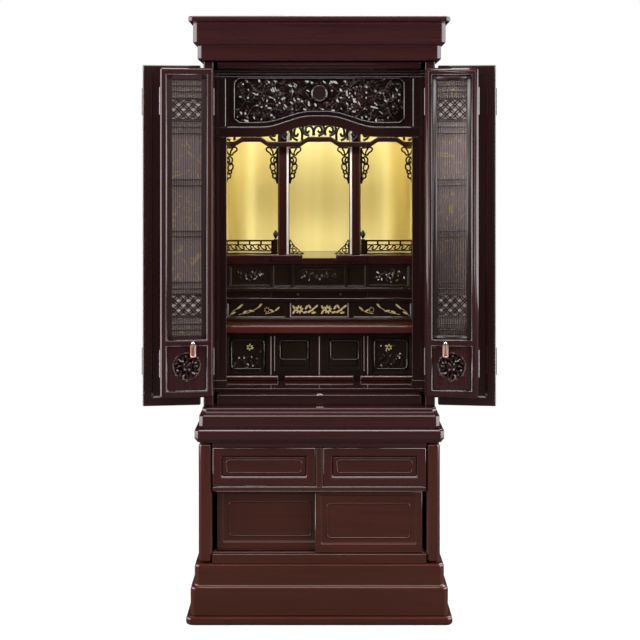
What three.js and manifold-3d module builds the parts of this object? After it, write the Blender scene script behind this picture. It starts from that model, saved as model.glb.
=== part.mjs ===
// A household altar cabinet of dark lacquered rosewood: a low base with drawers and sliding doors, and
// above it a tall cabinet with folding outer doors and folding lattice doors round a small gilt altar.
// Millimetres, +Z up, the front faces -Y, and the origin is under the middle of the foot board.

import * as THREE from "three";
import { mergeVertices } from "three/addons/utils/BufferGeometryUtils.js";
import Module from "manifold-3d";

const wasm = await Module();
wasm.setup();

// Gap between pieces that bear on one another
const touch = 0.3;

// Plan of the upper cabinet
const backFace = 240;
const backThickness = 10;
const cabinetHalf = 269;
const postWidth = 23.5;
const postFront = -210;
const sideWallThickness = 32;

// Outer doors: two leaves on each side, shut in front of the posts
const outerDoorThickness = 20;
const outerDoorBehind = 1;
const outerAxisBeside = 3;
const outerLeafGap = 1;
const doorLedgeProud = 3;
const doorsOpenAngle = 173;

// Lattice doors: two leaves on each side, shut between the posts
const latticeThickness = 16;
const latticeAxisBehind = 3;
const latticeSetBack = 6;
const latticeHingeGap = 2;
const latticeLeafGap = 0.5;
const latticeMeetingGap = 1;
const latticeStile = 16;
const latticeTopRail = 17;
const latticeBottomRail = 17;
const latticeLowerOpening = 100;
const latticeMidRail = 16;
const latticeSillGap = 1.7;
const latticeHeadGap = 2;
const latticeBorder = 11;
const latticeBar = 3;
const latticeFieldThickness = 6;
const latticeColumns = 3;
const latticeRows = 6;
const medallionRadius = 33.6;
const pullKnobRadius = 4.5;
const pullKnobReach = 7;
const pullInset = 46;

// Heights of the stages, from the floor up
const footThickness = 18;
const plinthStepRise = 66;
const plinthRise = 49;
const baseFloorThickness = 21.4;
const compartmentHeight = 143.1;
const baseRailThickness = 12;
const drawerOpeningHeight = 89.9;
const baseHeadRail = 10.6;
const corniceThickness = 32;
const cabinetBaseThickness = 48;
const sillThickness = 24.3;
const altarFloorThickness = 8.2;
const innerHeight = 751;
const ceilingThickness = 15.5;
const crownLowerRise = 35;
const crownUpperRise = 53;
const crownSlabThickness = 13;

// How far each stage stands out beyond the one it carries, on the front and both sides
const baseProud = 9;
const plinthProud = 8.5;
const plinthStepProud = 8.5;
const footProud = 9.5;
const corniceProud = 9;
const crownLowerProud = 12;
const crownUpperProud = 9.5;
const crownSlabProud = 10;
const cornerChamfer = 9;
const crownFascia = 20;
const plinthBoard = 24;

// Base: drawers over a compartment with two sliding doors
const baseStile = 31.7;
const basePanel = 16;
const dividerHalf = 8;
const slideGap = 0.6;
const drawerDepth = 400;
const drawerFront = 18;
const drawerWall = 9;
const slidingDoorThickness = 14;
const slidingDoorOverlap = 10.4;
const slidingDoorSideGap = 8.7;
const slidingDoorSetBack = 7;
const slidingDoorSpacing = 2;
const trackWidth = 6;
const trackDepth = 5;

// Altar frame: jambs and a carved transom, behind the shut lattice doors
const transomFront = -165;
const transomThickness = 16;
const jambWidth = 26;
const jambSetBack = 5;
const jambDepth = 20;
const transomHeight = 158.5;
const archRailHeight = 22;
const archRise = 26.5;
const archFoot = 135;
const archCrown = 20;
const transomStile = 21;
const transomTopRailHeight = 15.5;
const carvingBeside = 44.7;
const carvingBelowCeiling = 20.1;
const carvingAboveRail = 11.5;
const carvingCorner = 6;
const carvingBacking = 2;
const carvingDepth = 6;
const discRadius = 19.5;
const discBelowCeiling = 55.5;

// Inner altar: pillars, valance and balustrades on a stepped stand
const altarClearance = 0.5;
const standBoard = 12;
const pillarInner = 75;
const pillarWidth = 28.6;
const pillarFront = 5;
const pillarDepth = 28;
const valanceThickness = 11.7;
const bayHeight = 268.6;
const valanceRise = 12.4;
const valanceBand = 13.5;
const fretThickness = 4;
const fretHeight = 36.5;
const bracketDrop = 92;
const bracketThickness = 4;
const liningThickness = 2;
const liningRadius = 90;
const liningHeight = 400;
const deckThickness = 15;
const platformBlockRise = 7;
const platformEnd = 118.7;
const platformDip = 41.7;
const platformFront = -6;
const platformBlockDepth = 42;
const dadoMoulding = 8;
const dadoHeight = 60;
const dadoFront = 0;
const dadoMouldingFront = -10;
const dadoBoard = 12;
const drawerBandHeight = 16;
const upperShelfThickness = 9;
const upperShelfFront = -16;
const smallDrawerHalf = 118;
const smallDrawerDepth = 110;
const inlayCaseHeight = 49;
const inlayCaseFront = -6;
const lowerShelfThickness = 20;
const cupboardHeight = 118.5;
const lowerShelfFront = -85;
const cupboardFront = -36;
const cupboardDoorInner = 14.2;
const cupboardDoorOuter = 110.6;
const cornerPanelInner = 131;
const cornerPanelBeside = 12;
const lowRailSplit = 99.5;
const lowRailMiddleHalf = 85.5;
const lowRailBeside = 8;
const lowRailFront = -56;
const lowRailHeight = 10.5;
const lowRailDepth = 9;
const balustradeHeight = 37.2;
const balustradeThickness = 5;
const balustradeFront = 6;
const balustradePostHalf = 5;
const finialHeight = 24.8;
const cornerBracketReach = 37;

// Levels worked out from the heights of the stages
const footHeight = footThickness;
const plinthStepHeight = footHeight + plinthStepRise;
const plinthHeight = plinthStepHeight + plinthRise;
const baseFloorTop = plinthHeight + baseFloorThickness;
const baseRailBottom = baseFloorTop + compartmentHeight;
const baseRailTop = baseRailBottom + baseRailThickness;
const baseHeadBottom = baseRailTop + drawerOpeningHeight;
const baseHeight = baseHeadBottom + baseHeadRail;
const corniceHeight = baseHeight + corniceThickness;
const cabinetBaseHeight = corniceHeight + cabinetBaseThickness;
const sillHeight = cabinetBaseHeight + sillThickness;
const altarFloorHeight = sillHeight + altarFloorThickness;
const lowerShelfBottom = altarFloorHeight + cupboardHeight;
const inlayCaseBottom = lowerShelfBottom + lowerShelfThickness;
const upperShelfBottom = inlayCaseBottom + inlayCaseHeight;
const drawerBandBottom = upperShelfBottom + upperShelfThickness;
const dadoBottom = drawerBandBottom + drawerBandHeight;
const dadoMouldingTop = dadoBottom + dadoMoulding;
const platformBottom = dadoMouldingTop + dadoHeight;
const platformCentreTop = platformBottom + deckThickness;
const platformTop = platformCentreTop + platformBlockRise;
const balustradeTop = platformTop + balustradeHeight;
const valanceFoot = platformTop + bayHeight;
const fretTop = valanceFoot + valanceRise + valanceBand + fretHeight;
const ceilingBottom = altarFloorHeight + innerHeight;
const cabinetTop = ceilingBottom + ceilingThickness;
const crownLowerTop = cabinetTop + crownLowerRise;
const crownUpperTop = crownLowerTop + crownUpperRise;
const crownTop = crownUpperTop + crownSlabThickness;
const archEnd = ceilingBottom - transomHeight;
const carvingTop = ceilingBottom - carvingBelowCeiling;
const discHeight = ceilingBottom - discBelowCeiling;

// Places worked out from the sizes above
const backInner = backFace - backThickness - touch;
const postInner = cabinetHalf - postWidth;
const altarHalf = cabinetHalf - sideWallThickness;
const fitHalf = altarHalf - altarClearance;
const cornerPanelOuter = fitHalf - cornerPanelBeside;
const jambFront = transomFront + jambSetBack;
const outerDoorFront = postFront - outerDoorBehind - outerDoorThickness;
const ledgeFront = outerDoorFront - doorLedgeProud;
const baseHalf = cabinetHalf + baseProud;
const baseFront = ledgeFront - 4;
const baseInner = baseHalf - baseStile;
const outerAxis = [cabinetHalf + outerAxisBeside, postFront];
const outerLeafWidth = (cabinetHalf - outerLeafGap * 1.5) / 2;
const latticeAxis = [postInner, postFront + latticeAxisBehind];
const latticeLeafWidth = (postInner - latticeHingeGap - latticeLeafGap - latticeMeetingGap) / 2;
const latticeBottom = sillHeight + latticeSillGap;
const latticeTop = ceilingBottom - latticeHeadGap;
const latticeMidRailBottom = latticeBottom + latticeBottomRail + latticeLowerOpening;
const latticeMidRailTop = latticeMidRailBottom + latticeMidRail;
const medallionHeight = latticeMidRailBottom - latticeLowerOpening / 2;
const sides = [["left", -1], ["right", 1]];

// Finishes
const lacquer = (color) => new THREE.MeshStandardMaterial({ color, roughness: 0.22, metalness: 0 });
const rosewood = () => lacquer(0x3a1a18);
const redRosewood = () => lacquer(0x4a2420);
const darkRosewood = () => lacquer(0x22100f);
const gilt = () => new THREE.MeshStandardMaterial({ color: 0xd9bd6a, roughness: 0.35, metalness: 0.6 });
const copper = () => new THREE.MeshStandardMaterial({ color: 0xb07a66, roughness: 0.3, metalness: 1 });

// Solids from three.js geometry
function block([x0, x1], [y0, y1], [z0, z1]) {
  const box = new THREE.BoxGeometry(Math.abs(x1 - x0), Math.abs(y1 - y0), Math.abs(z1 - z0));
  return box.translate((x0 + x1) / 2, (y0 + y1) / 2, (z0 + z1) / 2);
}

function outline(points) {
  return new THREE.Shape(points.map(([u, v]) => new THREE.Vector2(u, v)));
}

// A plan in x and y, extruded upwards
function upright(plan, [z0, z1]) {
  return new THREE.ExtrudeGeometry(plan, { depth: z1 - z0, bevelEnabled: false }).translate(0, 0, z0);
}

// An elevation in x and z, extruded from front to back
function elevation(shape, [y0, y1], curveSegments = 6) {
  const plate = new THREE.ExtrudeGeometry(shape, { depth: y1 - y0, bevelEnabled: false, curveSegments });
  return plate.rotateX(Math.PI / 2).translate(0, y1, 0);
}

// A section in y and z, extruded across
function across(section, [x0, x1]) {
  const bar = new THREE.ExtrudeGeometry(section, { depth: x1 - x0, bevelEnabled: false });
  const yzx = new THREE.Matrix4().makeBasis(
    new THREE.Vector3(0, 1, 0), new THREE.Vector3(0, 0, 1), new THREE.Vector3(1, 0, 0));
  return bar.applyMatrix4(yzx).translate(x0, 0, 0);
}

// A closed skin over rings of equally many points, turned so that its faces point out
function loft(rings) {
  const count = rings[0].length;
  const faces = [];
  for (let i = 0; i + 1 < rings.length; i += 1) {
    for (let j = 0; j < count; j += 1) {
      const a = i * count + j;
      const b = i * count + (j + 1) % count;
      faces.push([a, b, b + count], [a, b + count, a + count]);
    }
  }
  const last = (rings.length - 1) * count;
  for (let j = 1; j + 1 < count; j += 1) {
    faces.push([0, j + 1, j], [last, last + j, last + j + 1]);
  }
  const points = rings.flat();
  let volume = 0;
  for (const [a, b, c] of faces) {
    volume += points[a].dot(new THREE.Vector3().crossVectors(points[b], points[c]));
  }
  const turned = volume < 0 ? faces.map(([a, b, c]) => [a, c, b]) : faces;
  const skin = new THREE.BufferGeometry().setFromPoints(points);
  skin.setIndex(turned.flat());
  return skin;
}

function solid(geometry) {
  const bare = geometry.clone();
  bare.deleteAttribute("normal");
  bare.deleteAttribute("uv");
  const merged = mergeVertices(bare, 1e-4);
  const corners = Array.from(merged.index.array);
  const triangles = Array.from({ length: corners.length / 3 }, (_, i) => corners.slice(3 * i, 3 * i + 3));
  const whole = triangles.filter(([a, b, c]) => a !== b && b !== c && c !== a);
  const mesh = new wasm.Mesh({
    numProp: 3,
    vertProperties: new Float32Array(merged.attributes.position.array),
    triVerts: new Uint32Array(whole.flat()),
  });
  return new wasm.Manifold(mesh);
}

function geometryOf(manifold) {
  const { vertProperties, triVerts } = manifold.getMesh();
  const geometry = new THREE.BufferGeometry();
  geometry.setAttribute("position", new THREE.BufferAttribute(new Float32Array(vertProperties), 3));
  geometry.setIndex(new THREE.BufferAttribute(new Uint32Array(triVerts), 1));
  geometry.computeVertexNormals();
  return geometry;
}

function join(...geometries) {
  return geometryOf(geometries.map(solid).reduce((whole, piece) => whole.add(piece)));
}

function cut(geometry, ...tools) {
  return geometryOf(tools.map(solid).reduce((whole, tool) => whole.subtract(tool), solid(geometry)));
}

// A flat plate with openings cut right through it
function pierced(shape, openings, [y0, y1]) {
  return cut(elevation(shape, [y0, y1]), ...openings.map((opening) => elevation(opening, [y0 - 1, y1 + 1])));
}

// A board with one moulded edge round its front and both ends, and a flat back. Each point of the
// profile is how far the edge stands out there, and its height.
function mouldedBoard(half, front, profile) {
  return loft(profile.map(([out, z]) => {
    const x = half + out;
    const y = front - out;
    return [
      [-x, backFace], [-x, y + cornerChamfer], [-x + cornerChamfer, y],
      [x - cornerChamfer, y], [x, y + cornerChamfer], [x, backFace],
    ].map(([px, py]) => new THREE.Vector3(px, py, z));
  }));
}

// A tapered block between two rectangles that face front or back
function taper([x0, x1, z0, z1], stages) {
  return loft(stages.map(([y, inset]) => [
    [x0 + inset, z0 + inset], [x1 - inset, z0 + inset], [x1 - inset, z1 - inset], [x0 + inset, z1 - inset],
  ].map(([x, z]) => new THREE.Vector3(x, y, z))));
}

// A framed panel sunk into a face at y, with a raised field in it. Facing is -1 for the front.
function sunkPanel(board, [x0, x1, z0, z1], y, facing, { depth = 5, bevel = 4, margin = 9, field = 2.5 } = {}) {
  const low = Math.min(x0, x1);
  const high = Math.max(x0, x1);
  const rectangle = [low, high, z0, z1];
  const recess = taper(rectangle, [[y + facing, 0], [y, 0], [y - facing * depth, bevel]]);
  const inner = [low + bevel + margin, high - bevel - margin, z0 + bevel + margin, z1 - bevel - margin];
  const floor = y - facing * depth;
  const sunk = cut(board, recess);
  if (field === 0) {
    return sunk;
  }
  return join(sunk, taper(inner, [[floor - facing, 0], [floor, 0], [floor + facing * field, field]]));
}

const altar = new THREE.Group();

function place(name, geometry, material, parent = altar) {
  const mesh = new THREE.Mesh(geometry, material);
  mesh.name = name;
  parent.add(mesh);
}

// Foot board and the two-step plinth, which is a hollow frame
const plinthHalf = baseHalf + plinthProud;
const plinthFront = baseFront - plinthProud;
const plinthStepHalf = plinthHalf + plinthStepProud;
const plinthStepFront = plinthFront - plinthStepProud;
place("foot_board", mouldedBoard(plinthStepHalf, plinthStepFront, [
  [footProud - 3, 0], [footProud, 3], [footProud, footHeight - 3], [footProud - 3, footHeight],
]), rosewood());
const plinthBlock = mouldedBoard(plinthHalf, plinthFront, [
  [plinthStepProud, footHeight + touch], [plinthStepProud, plinthStepHeight - 3],
  [plinthStepProud - 3, plinthStepHeight], [0, plinthStepHeight + 1],
  [0, plinthHeight - 3], [-3, plinthHeight],
]);
const plinthHollow = block(
  [-plinthHalf + plinthBoard, plinthHalf - plinthBoard],
  [plinthFront + plinthBoard, backFace - plinthBoard], [0, plinthHeight + 10]);
place("plinth", cut(plinthBlock, plinthHollow), redRosewood());

// Base carcass: sides with broad front stiles, floor, back, shelf with the divider, and the cornice
for (const [side, s] of sides) {
  const plan = outline([
    [s * baseInner, baseFront], [s * baseHalf, baseFront], [s * baseHalf, backInner],
    [s * (baseHalf - basePanel), backInner], [s * (baseHalf - basePanel), baseFront + 20],
    [s * baseInner, baseFront + 20],
  ]);
  place(`base_side_${side}`, upright(plan, [plinthHeight + touch, baseHeight]), redRosewood());
}
const frontDoorY = baseFront + slidingDoorSetBack;
const rearDoorY = frontDoorY + slidingDoorThickness + slidingDoorSpacing;
const trackCentres = [frontDoorY, rearDoorY].map((y) => y + slidingDoorThickness / 2);

// A board with one groove for each sliding door on the face at z
function trackedBoard([z0, z1], grooveZ) {
  const board = block(
    [-baseInner + touch, baseInner - touch], [baseFront, backInner], [z0, z1]);
  const grooves = trackCentres.map((y) => block(
    [-baseInner, baseInner], [y - trackWidth / 2, y + trackWidth / 2],
    [grooveZ - trackDepth, grooveZ + trackDepth]));
  return cut(board, ...grooves);
}
place("base_floor", trackedBoard([plinthHeight + touch, baseFloorTop], baseFloorTop), redRosewood());
const divider = block(
  [-dividerHalf, dividerHalf], [baseFront, backInner], [baseRailTop - 1, baseHeadBottom - touch]);
place("base_shelf", join(trackedBoard([baseRailBottom, baseRailTop], baseRailBottom), divider), redRosewood());
place("base_back", block(
  [-baseHalf, baseHalf], [backInner + touch, backFace], [plinthHeight + touch, baseHeight]), redRosewood());
const cornice = mouldedBoard(baseHalf, baseFront, [
  [2, baseHeight + touch], [corniceProud - 2, baseHeight + 8], [corniceProud, baseHeight + 11],
  [corniceProud, corniceHeight - 3], [corniceProud - 3, corniceHeight],
]);
const headRail = block(
  [-baseInner + touch, baseInner - touch], [baseFront, baseFront + 20], [baseHeadBottom, baseHeight + 1]);
place("base_top", join(cornice, headRail), rosewood());

// Two drawers side by side
for (const [side, s] of sides) {
  const x0 = s * (dividerHalf + slideGap);
  const x1 = s * (baseInner - slideGap);
  const bottom = baseRailTop + slideGap;
  const top = baseHeadBottom - slideGap;
  const tray = cut(
    block([x0, x1], [baseFront + 1, baseFront + 1 + drawerDepth], [bottom, top]),
    block([x0 + s * drawerWall, x1 - s * drawerWall],
      [baseFront + 1 + drawerFront, baseFront + 1 + drawerDepth - drawerWall], [bottom + 8, top + 5]));
  const panel = [x0 + s * 19, x1 - s * 19, bottom + 20, top - 18];
  place(`drawer_${side}`, sunkPanel(tray, panel, baseFront + 1, -1), redRosewood());
}

// Two sliding doors, the right one in front, with tongues in the grooves
for (const [side, s] of sides) {
  const y = s < 0 ? rearDoorY : frontDoorY;
  const x0 = -s * slidingDoorOverlap;
  const x1 = s * (baseInner - slidingDoorSideGap);
  const bottom = baseFloorTop + 1;
  const top = baseRailBottom - 1;
  const leaf = block([x0, x1], [y, y + slidingDoorThickness], [bottom, top]);
  const centre = y + slidingDoorThickness / 2;
  const tongue = block(
    [x0, x1], [centre - trackWidth / 2 + 0.5, centre + trackWidth / 2 - 0.5],
    [bottom - trackDepth + 0.5, top + trackDepth - 1.5]);
  const panel = [x0 + s * 14, x1 - s * 14, bottom + 19, top - 13];
  place(`sliding_door_${side}`, sunkPanel(join(leaf, tongue), panel, y, -1), redRosewood());
}

// Cabinet base, door sill and altar floor
place("cabinet_base", mouldedBoard(cabinetHalf, ledgeFront, [
  [5, corniceHeight + touch], [8, corniceHeight + 6], [8, cabinetBaseHeight - 18],
  [5, cabinetBaseHeight - 15], [1, cabinetBaseHeight - 8], [1, cabinetBaseHeight - 2],
  [-1, cabinetBaseHeight],
]), rosewood());
place("door_sill", block(
  [-altarHalf + touch, altarHalf - touch], [postFront + 4, backInner],
  [cabinetBaseHeight + touch, sillHeight]), darkRosewood());
const jambBack = jambFront + jambDepth;
place("altar_floor", upright(outline([
  [-postInner + touch, transomFront], [postInner - touch, transomFront], [postInner - touch, jambBack],
  [fitHalf, jambBack], [fitHalf, backInner], [-fitHalf, backInner], [-fitHalf, jambBack],
  [-postInner + touch, jambBack],
]), [sillHeight + touch, altarFloorHeight]), darkRosewood());

// Cabinet sides with their front posts, back, ceiling board and crown
for (const [side, s] of sides) {
  const plan = outline([
    [s * postInner, postFront + 2], [s * (postInner + 2), postFront], [s * (cabinetHalf - 2), postFront],
    [s * cabinetHalf, postFront + 2], [s * cabinetHalf, backInner], [s * altarHalf, backInner],
    [s * altarHalf, jambBack + touch], [s * postInner, jambBack + touch],
  ]);
  place(`cabinet_side_${side}`, upright(plan, [cabinetBaseHeight + touch, cabinetTop]), rosewood());
}
place("cabinet_back", block(
  [-cabinetHalf, cabinetHalf], [backInner + touch, backFace],
  [cabinetBaseHeight + touch, cabinetTop]), rosewood());
place("ceiling", across(outline([
  [postFront + 5, cabinetTop], [postFront + 5, cabinetTop - 4], [postFront + 9, cabinetTop - 7],
  [postFront + 9, cabinetTop - 11], [postFront + 14, ceilingBottom], [backInner, ceilingBottom],
  [backInner, cabinetTop],
]), [-altarHalf + touch, altarHalf - touch]), rosewood());
const crownHalf = cabinetHalf + crownLowerProud;
const crownFront = ledgeFront - 1;
const crownSolid = mouldedBoard(crownHalf, crownFront, [
  [-4, cabinetTop + touch], [0, cabinetTop + 5], [0, crownLowerTop],
  [crownUpperProud - 4, crownLowerTop + 2], [crownUpperProud, crownLowerTop + 7],
  [crownUpperProud, crownUpperTop - 2], [crownUpperProud - 1.5, crownUpperTop],
  [crownUpperProud + crownSlabProud - 2, crownUpperTop + 0.6],
  [crownUpperProud + crownSlabProud, crownUpperTop + 2.5],
  [crownUpperProud + crownSlabProud, crownTop - 2],
  [crownUpperProud + crownSlabProud - 2, crownTop],
]);
const crownHollow = block(
  [-crownHalf + crownFascia, crownHalf - crownFascia],
  [crownFront + crownFascia, backFace - crownFascia], [cabinetTop - 5, crownUpperTop]);
place("crown", cut(crownSolid, crownHollow), rosewood());

// Transom with its arched lower rail
function archAt(x) {
  const t = THREE.MathUtils.clamp((archFoot - Math.abs(x)) / (archFoot - archCrown), 0, 1);
  return archRise * t * t * (3 - 2 * t);
}
function archLine(half, lift, steps = 20) {
  return Array.from({ length: steps + 1 }, (_, i) => {
    const x = half * (2 * i / steps - 1);
    return [x, archEnd + archAt(x) + lift];
  });
}
const transomHalf = postInner - touch;
const carvingHalf = transomHalf - carvingBeside;
const transomBack = transomFront + transomThickness;
const archRail = elevation(
  outline([...archLine(transomHalf, 0), ...archLine(transomHalf, archRailHeight).reverse()]),
  [transomFront, transomBack]);
const transomBoard = elevation(
  outline([...archLine(transomHalf, 5), [transomHalf, ceilingBottom - 5], [-transomHalf, ceilingBottom - 5]]),
  [transomFront + 5, transomBack]);
const transomStiles = sides.map(([, s]) => block(
  [s * (transomHalf - transomStile), s * transomHalf], [transomFront + 1, transomBack],
  [archEnd + 5, ceilingBottom - 4]));
const transomTopRail = across(outline([
  [transomFront, ceilingBottom - transomTopRailHeight + 6], [transomFront, ceilingBottom - touch],
  [transomBack, ceilingBottom - touch], [transomBack, ceilingBottom - transomTopRailHeight],
  [transomFront + 3, ceilingBottom - transomTopRailHeight],
]), [-transomHalf, transomHalf]);
function carvingOutline(inset) {
  const half = carvingHalf - inset;
  const lift = archRailHeight + carvingAboveRail + inset;
  const lower = archLine(carvingHalf, lift).slice(1, -1);
  return outline([
    [-half, archEnd + lift + carvingCorner], [-half + carvingCorner, archEnd + lift], ...lower,
    [half - carvingCorner, archEnd + lift], [half, archEnd + lift + carvingCorner],
    [half, carvingTop - inset - carvingCorner], [half - carvingCorner, carvingTop - inset],
    [-half + carvingCorner, carvingTop - inset], [-half, carvingTop - inset - carvingCorner],
  ]);
}
const carvingFloor = transomFront + 5 + carvingDepth;
place("transom", cut(
  join(archRail, transomBoard, ...transomStiles, transomTopRail),
  elevation(carvingOutline(0), [transomFront - 5, carvingFloor])), darkRosewood());

// One rounded form of a carving: a flattened ball, half sunk into the backing at y
function lobe(x, y, z, length, width, turn, height) {
  const ball = new THREE.SphereGeometry(1, 5, 4).scale(length / 2, height, width / 2);
  return ball.rotateY(-turn).translate(x, y, z);
}

// A bird in flight towards +X for s = 1: body, neck, head, two fanned wings and a long tail
function bird(cx, y, cz, s) {
  const at = (dx, dz, length, width, degrees, height) => lobe(
    cx + s * dx, y, cz + dz, length, width, s * THREE.MathUtils.degToRad(degrees), height);
  const body = [at(0, 0, 36, 17, 20, 9), at(20, 12, 22, 9, 45, 8), at(29, 21, 12, 9, 20, 9)];
  const feathers = Array.from({ length: 4 }, (_, i) => [
    at(-14 + 5 * i, 17 + 1.5 * i, 30, 8, 118 - 16 * i, 7),
    at(-6 + 6 * i, -13 - i, 24, 7, -112 + 18 * i, 7),
  ]).flat();
  const tail = Array.from({ length: 3 }, (_, i) => at(-34, 5 - 10 * i, 44, 8, 172 + 15 * i, 6));
  return [...body, ...feathers, ...tail];
}

// Leaves in pairs along a wavy stem between two places, growing towards the ends
function spray(x0, x1, z, swing, y, pairs) {
  return Array.from({ length: pairs }, (_, i) => {
    const t = (i + 0.5) / pairs;
    const x = x0 + (x1 - x0) * t;
    const stem = z + swing * Math.sin(t * Math.PI * 3);
    const lean = Math.atan2(swing * 3 * Math.PI * Math.cos(t * Math.PI * 3), x1 - x0);
    return [
      lobe(x, y, stem + 9, 19, 9, lean + 0.9, 6),
      lobe(x + 3, y, stem - 9, 19, 9, lean - 0.9, 6),
    ];
  }).flat();
}
const carvingBack = carvingFloor - touch;
const carvingFace = carvingBack - carvingBacking;
const carvingBoard = elevation(carvingOutline(0.4), [carvingFace, carvingBack]);
const disc = new THREE.CylinderGeometry(discRadius, discRadius, 10, 20)
  .translate(0, carvingFace - 4, discHeight);
const dish = new THREE.CylinderGeometry(discRadius - 3, discRadius - 3, 6, 20)
  .translate(0, carvingFace - 10, discHeight);
const carvedForms = sides.flatMap(([, s]) => [
  ...bird(s * 0.46 * carvingHalf, carvingFace, discHeight - 14, -s),
  ...spray(s * 0.75 * carvingHalf, s * 0.96 * carvingHalf, discHeight - 12, 14, carvingFace, 2),
  ...spray(s * 0.78 * carvingHalf, s * 0.95 * carvingHalf, discHeight - 48, 4, carvingFace, 1),
  ...spray(s * 0.16 * carvingHalf, s * 0.31 * carvingHalf, discHeight - 12, 12, carvingFace, 2),
  ...spray(s * 0.6 * carvingHalf, s * 0.8 * carvingHalf, discHeight + 18, 4, carvingFace, 2),
]);
const carvingMask = elevation(carvingOutline(0.4), [carvingFace - 20, carvingBack]);
const carvedWhole = geometryOf(
  solid(join(carvingBoard, ...carvedForms)).intersect(solid(carvingMask)));
place("transom_carving", cut(
  join(carvedWhole, disc), dish), darkRosewood());

// Jambs under the ends of the transom, each on a square foot
for (const [side, s] of sides) {
  const inner = s * (postInner - touch - jambWidth);
  const outer = s * (postInner - touch);
  const shaft = block([inner, outer], [jambFront, jambBack], [altarFloorHeight + touch, archEnd - touch]);
  const foot = block(
    [inner - s * 1.5, outer], [jambFront - 2, jambBack], [altarFloorHeight + touch, altarFloorHeight + 18]);
  place(`jamb_${side}`, join(shaft, foot), darkRosewood());
}

// Gilt lining: a thin sheet down both sides, round two hollow corners of large radius and along the back
const liningHalf = fitHalf - liningThickness - touch;
function liningCorner(s, radius) {
  const cx = fitHalf - liningRadius;
  const cy = backInner - touch - liningRadius;
  return Array.from({ length: 9 }, (_, i) => {
    const angle = i * Math.PI / 16;
    return [s * (cx + radius * Math.cos(angle)), cy + radius * Math.sin(angle)];
  });
}
const liningFront = jambBack + 6;
const liningInner = liningRadius - liningThickness;
place("gilt_lining", upright(outline([
  [fitHalf, liningFront], ...liningCorner(1, liningRadius), ...liningCorner(-1, liningRadius).reverse(),
  [-fitHalf, liningFront], [-fitHalf + liningThickness, liningFront],
  ...liningCorner(-1, liningInner), ...liningCorner(1, liningInner).reverse(),
  [fitHalf - liningThickness, liningFront],
]), [platformCentreTop + touch, platformTop + liningHeight]), gilt());

// A hollow stage of the stand: a front board between two end boards
function stage(front, [z0, z1]) {
  return upright(outline([
    [-fitHalf, front], [fitHalf, front], [fitHalf, backInner], [fitHalf - standBoard, backInner],
    [fitHalf - standBoard, front + standBoard], [-fitHalf + standBoard, front + standBoard],
    [-fitHalf + standBoard, backInner], [-fitHalf, backInner],
  ]), [z0, z1]);
}
function shelf(front, [z0, z1]) {
  return block([-fitHalf, fitHalf], [front, backInner], [z0, z1]);
}

// Platform: a deck with raised blocks along its front, higher under the pillars
const blockBack = platformFront + platformBlockDepth;
place("platform", join(
  shelf(platformFront, [platformBottom, platformCentreTop]),
  ...sides.flatMap(([, s]) => [
    block([s * platformEnd, s * liningHalf], [platformFront, blockBack], [platformBottom + 2, platformTop]),
    block([s * platformDip, s * (platformEnd + 1)], [platformFront - 3, blockBack],
      [platformBottom + 8, platformTop]),
  ])), rosewood());

// Dado under the platform: carved side panels, a recessed middle with two colonettes and an oblong
function sprig(x, y, z, s, size) {
  return Array.from({ length: 4 }, (_, i) => lobe(
    x + s * size * (i - 1.5) * 0.5, y, z + size * 0.16 * Math.cos(i * 2.1), size * 0.62, size * 0.28,
    s * (0.5 + i * 0.55), 4));
}
const dadoTop = platformBottom - touch;
const dadoMiddleZ = (dadoMouldingTop + dadoTop) / 2;
const dadoRecess = 5;
let dado = stage(dadoFront, [dadoBottom + 1, dadoTop]);
for (const [, s] of sides) {
  dado = sunkPanel(dado, [s * (platformEnd + 5), s * (fitHalf - 14), dadoMouldingTop + 5, dadoTop - 5], dadoFront, -1,
    { depth: dadoRecess, bevel: 3, field: 0 });
}
dado = sunkPanel(dado, [-platformEnd + 4, platformEnd - 4, dadoMouldingTop + 4, dadoTop - 4], dadoFront, -1,
  { depth: dadoRecess, bevel: 2, field: 0 });
const oblong = new THREE.Shape();
const oblongHalf = 55;
const oblongRadius = 16;
oblong.absarc(oblongHalf - oblongRadius, dadoMiddleZ, oblongRadius, -Math.PI / 2, Math.PI / 2);
oblong.absarc(-oblongHalf + oblongRadius, dadoMiddleZ, oblongRadius, Math.PI / 2, Math.PI * 1.5);
place("dado", join(
  dado, shelf(dadoMouldingFront, [dadoBottom, dadoMouldingTop]),
  elevation(oblong, [dadoFront + 1, dadoFront + dadoRecess + 1], 5),
  ...sides.map(([, s]) => block(
    [s * 63, s * 70], [dadoFront - 2, dadoFront + dadoRecess + 1], [dadoMouldingTop - 1, dadoTop])),
  ...sides.flatMap(([, s]) => sprig(s * (platformEnd + fitHalf) / 2, dadoFront + dadoRecess, dadoMiddleZ, s, 26)),
  ...sprig(0, dadoFront + 1, dadoMiddleZ, 1, 26)), darkRosewood());

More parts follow.
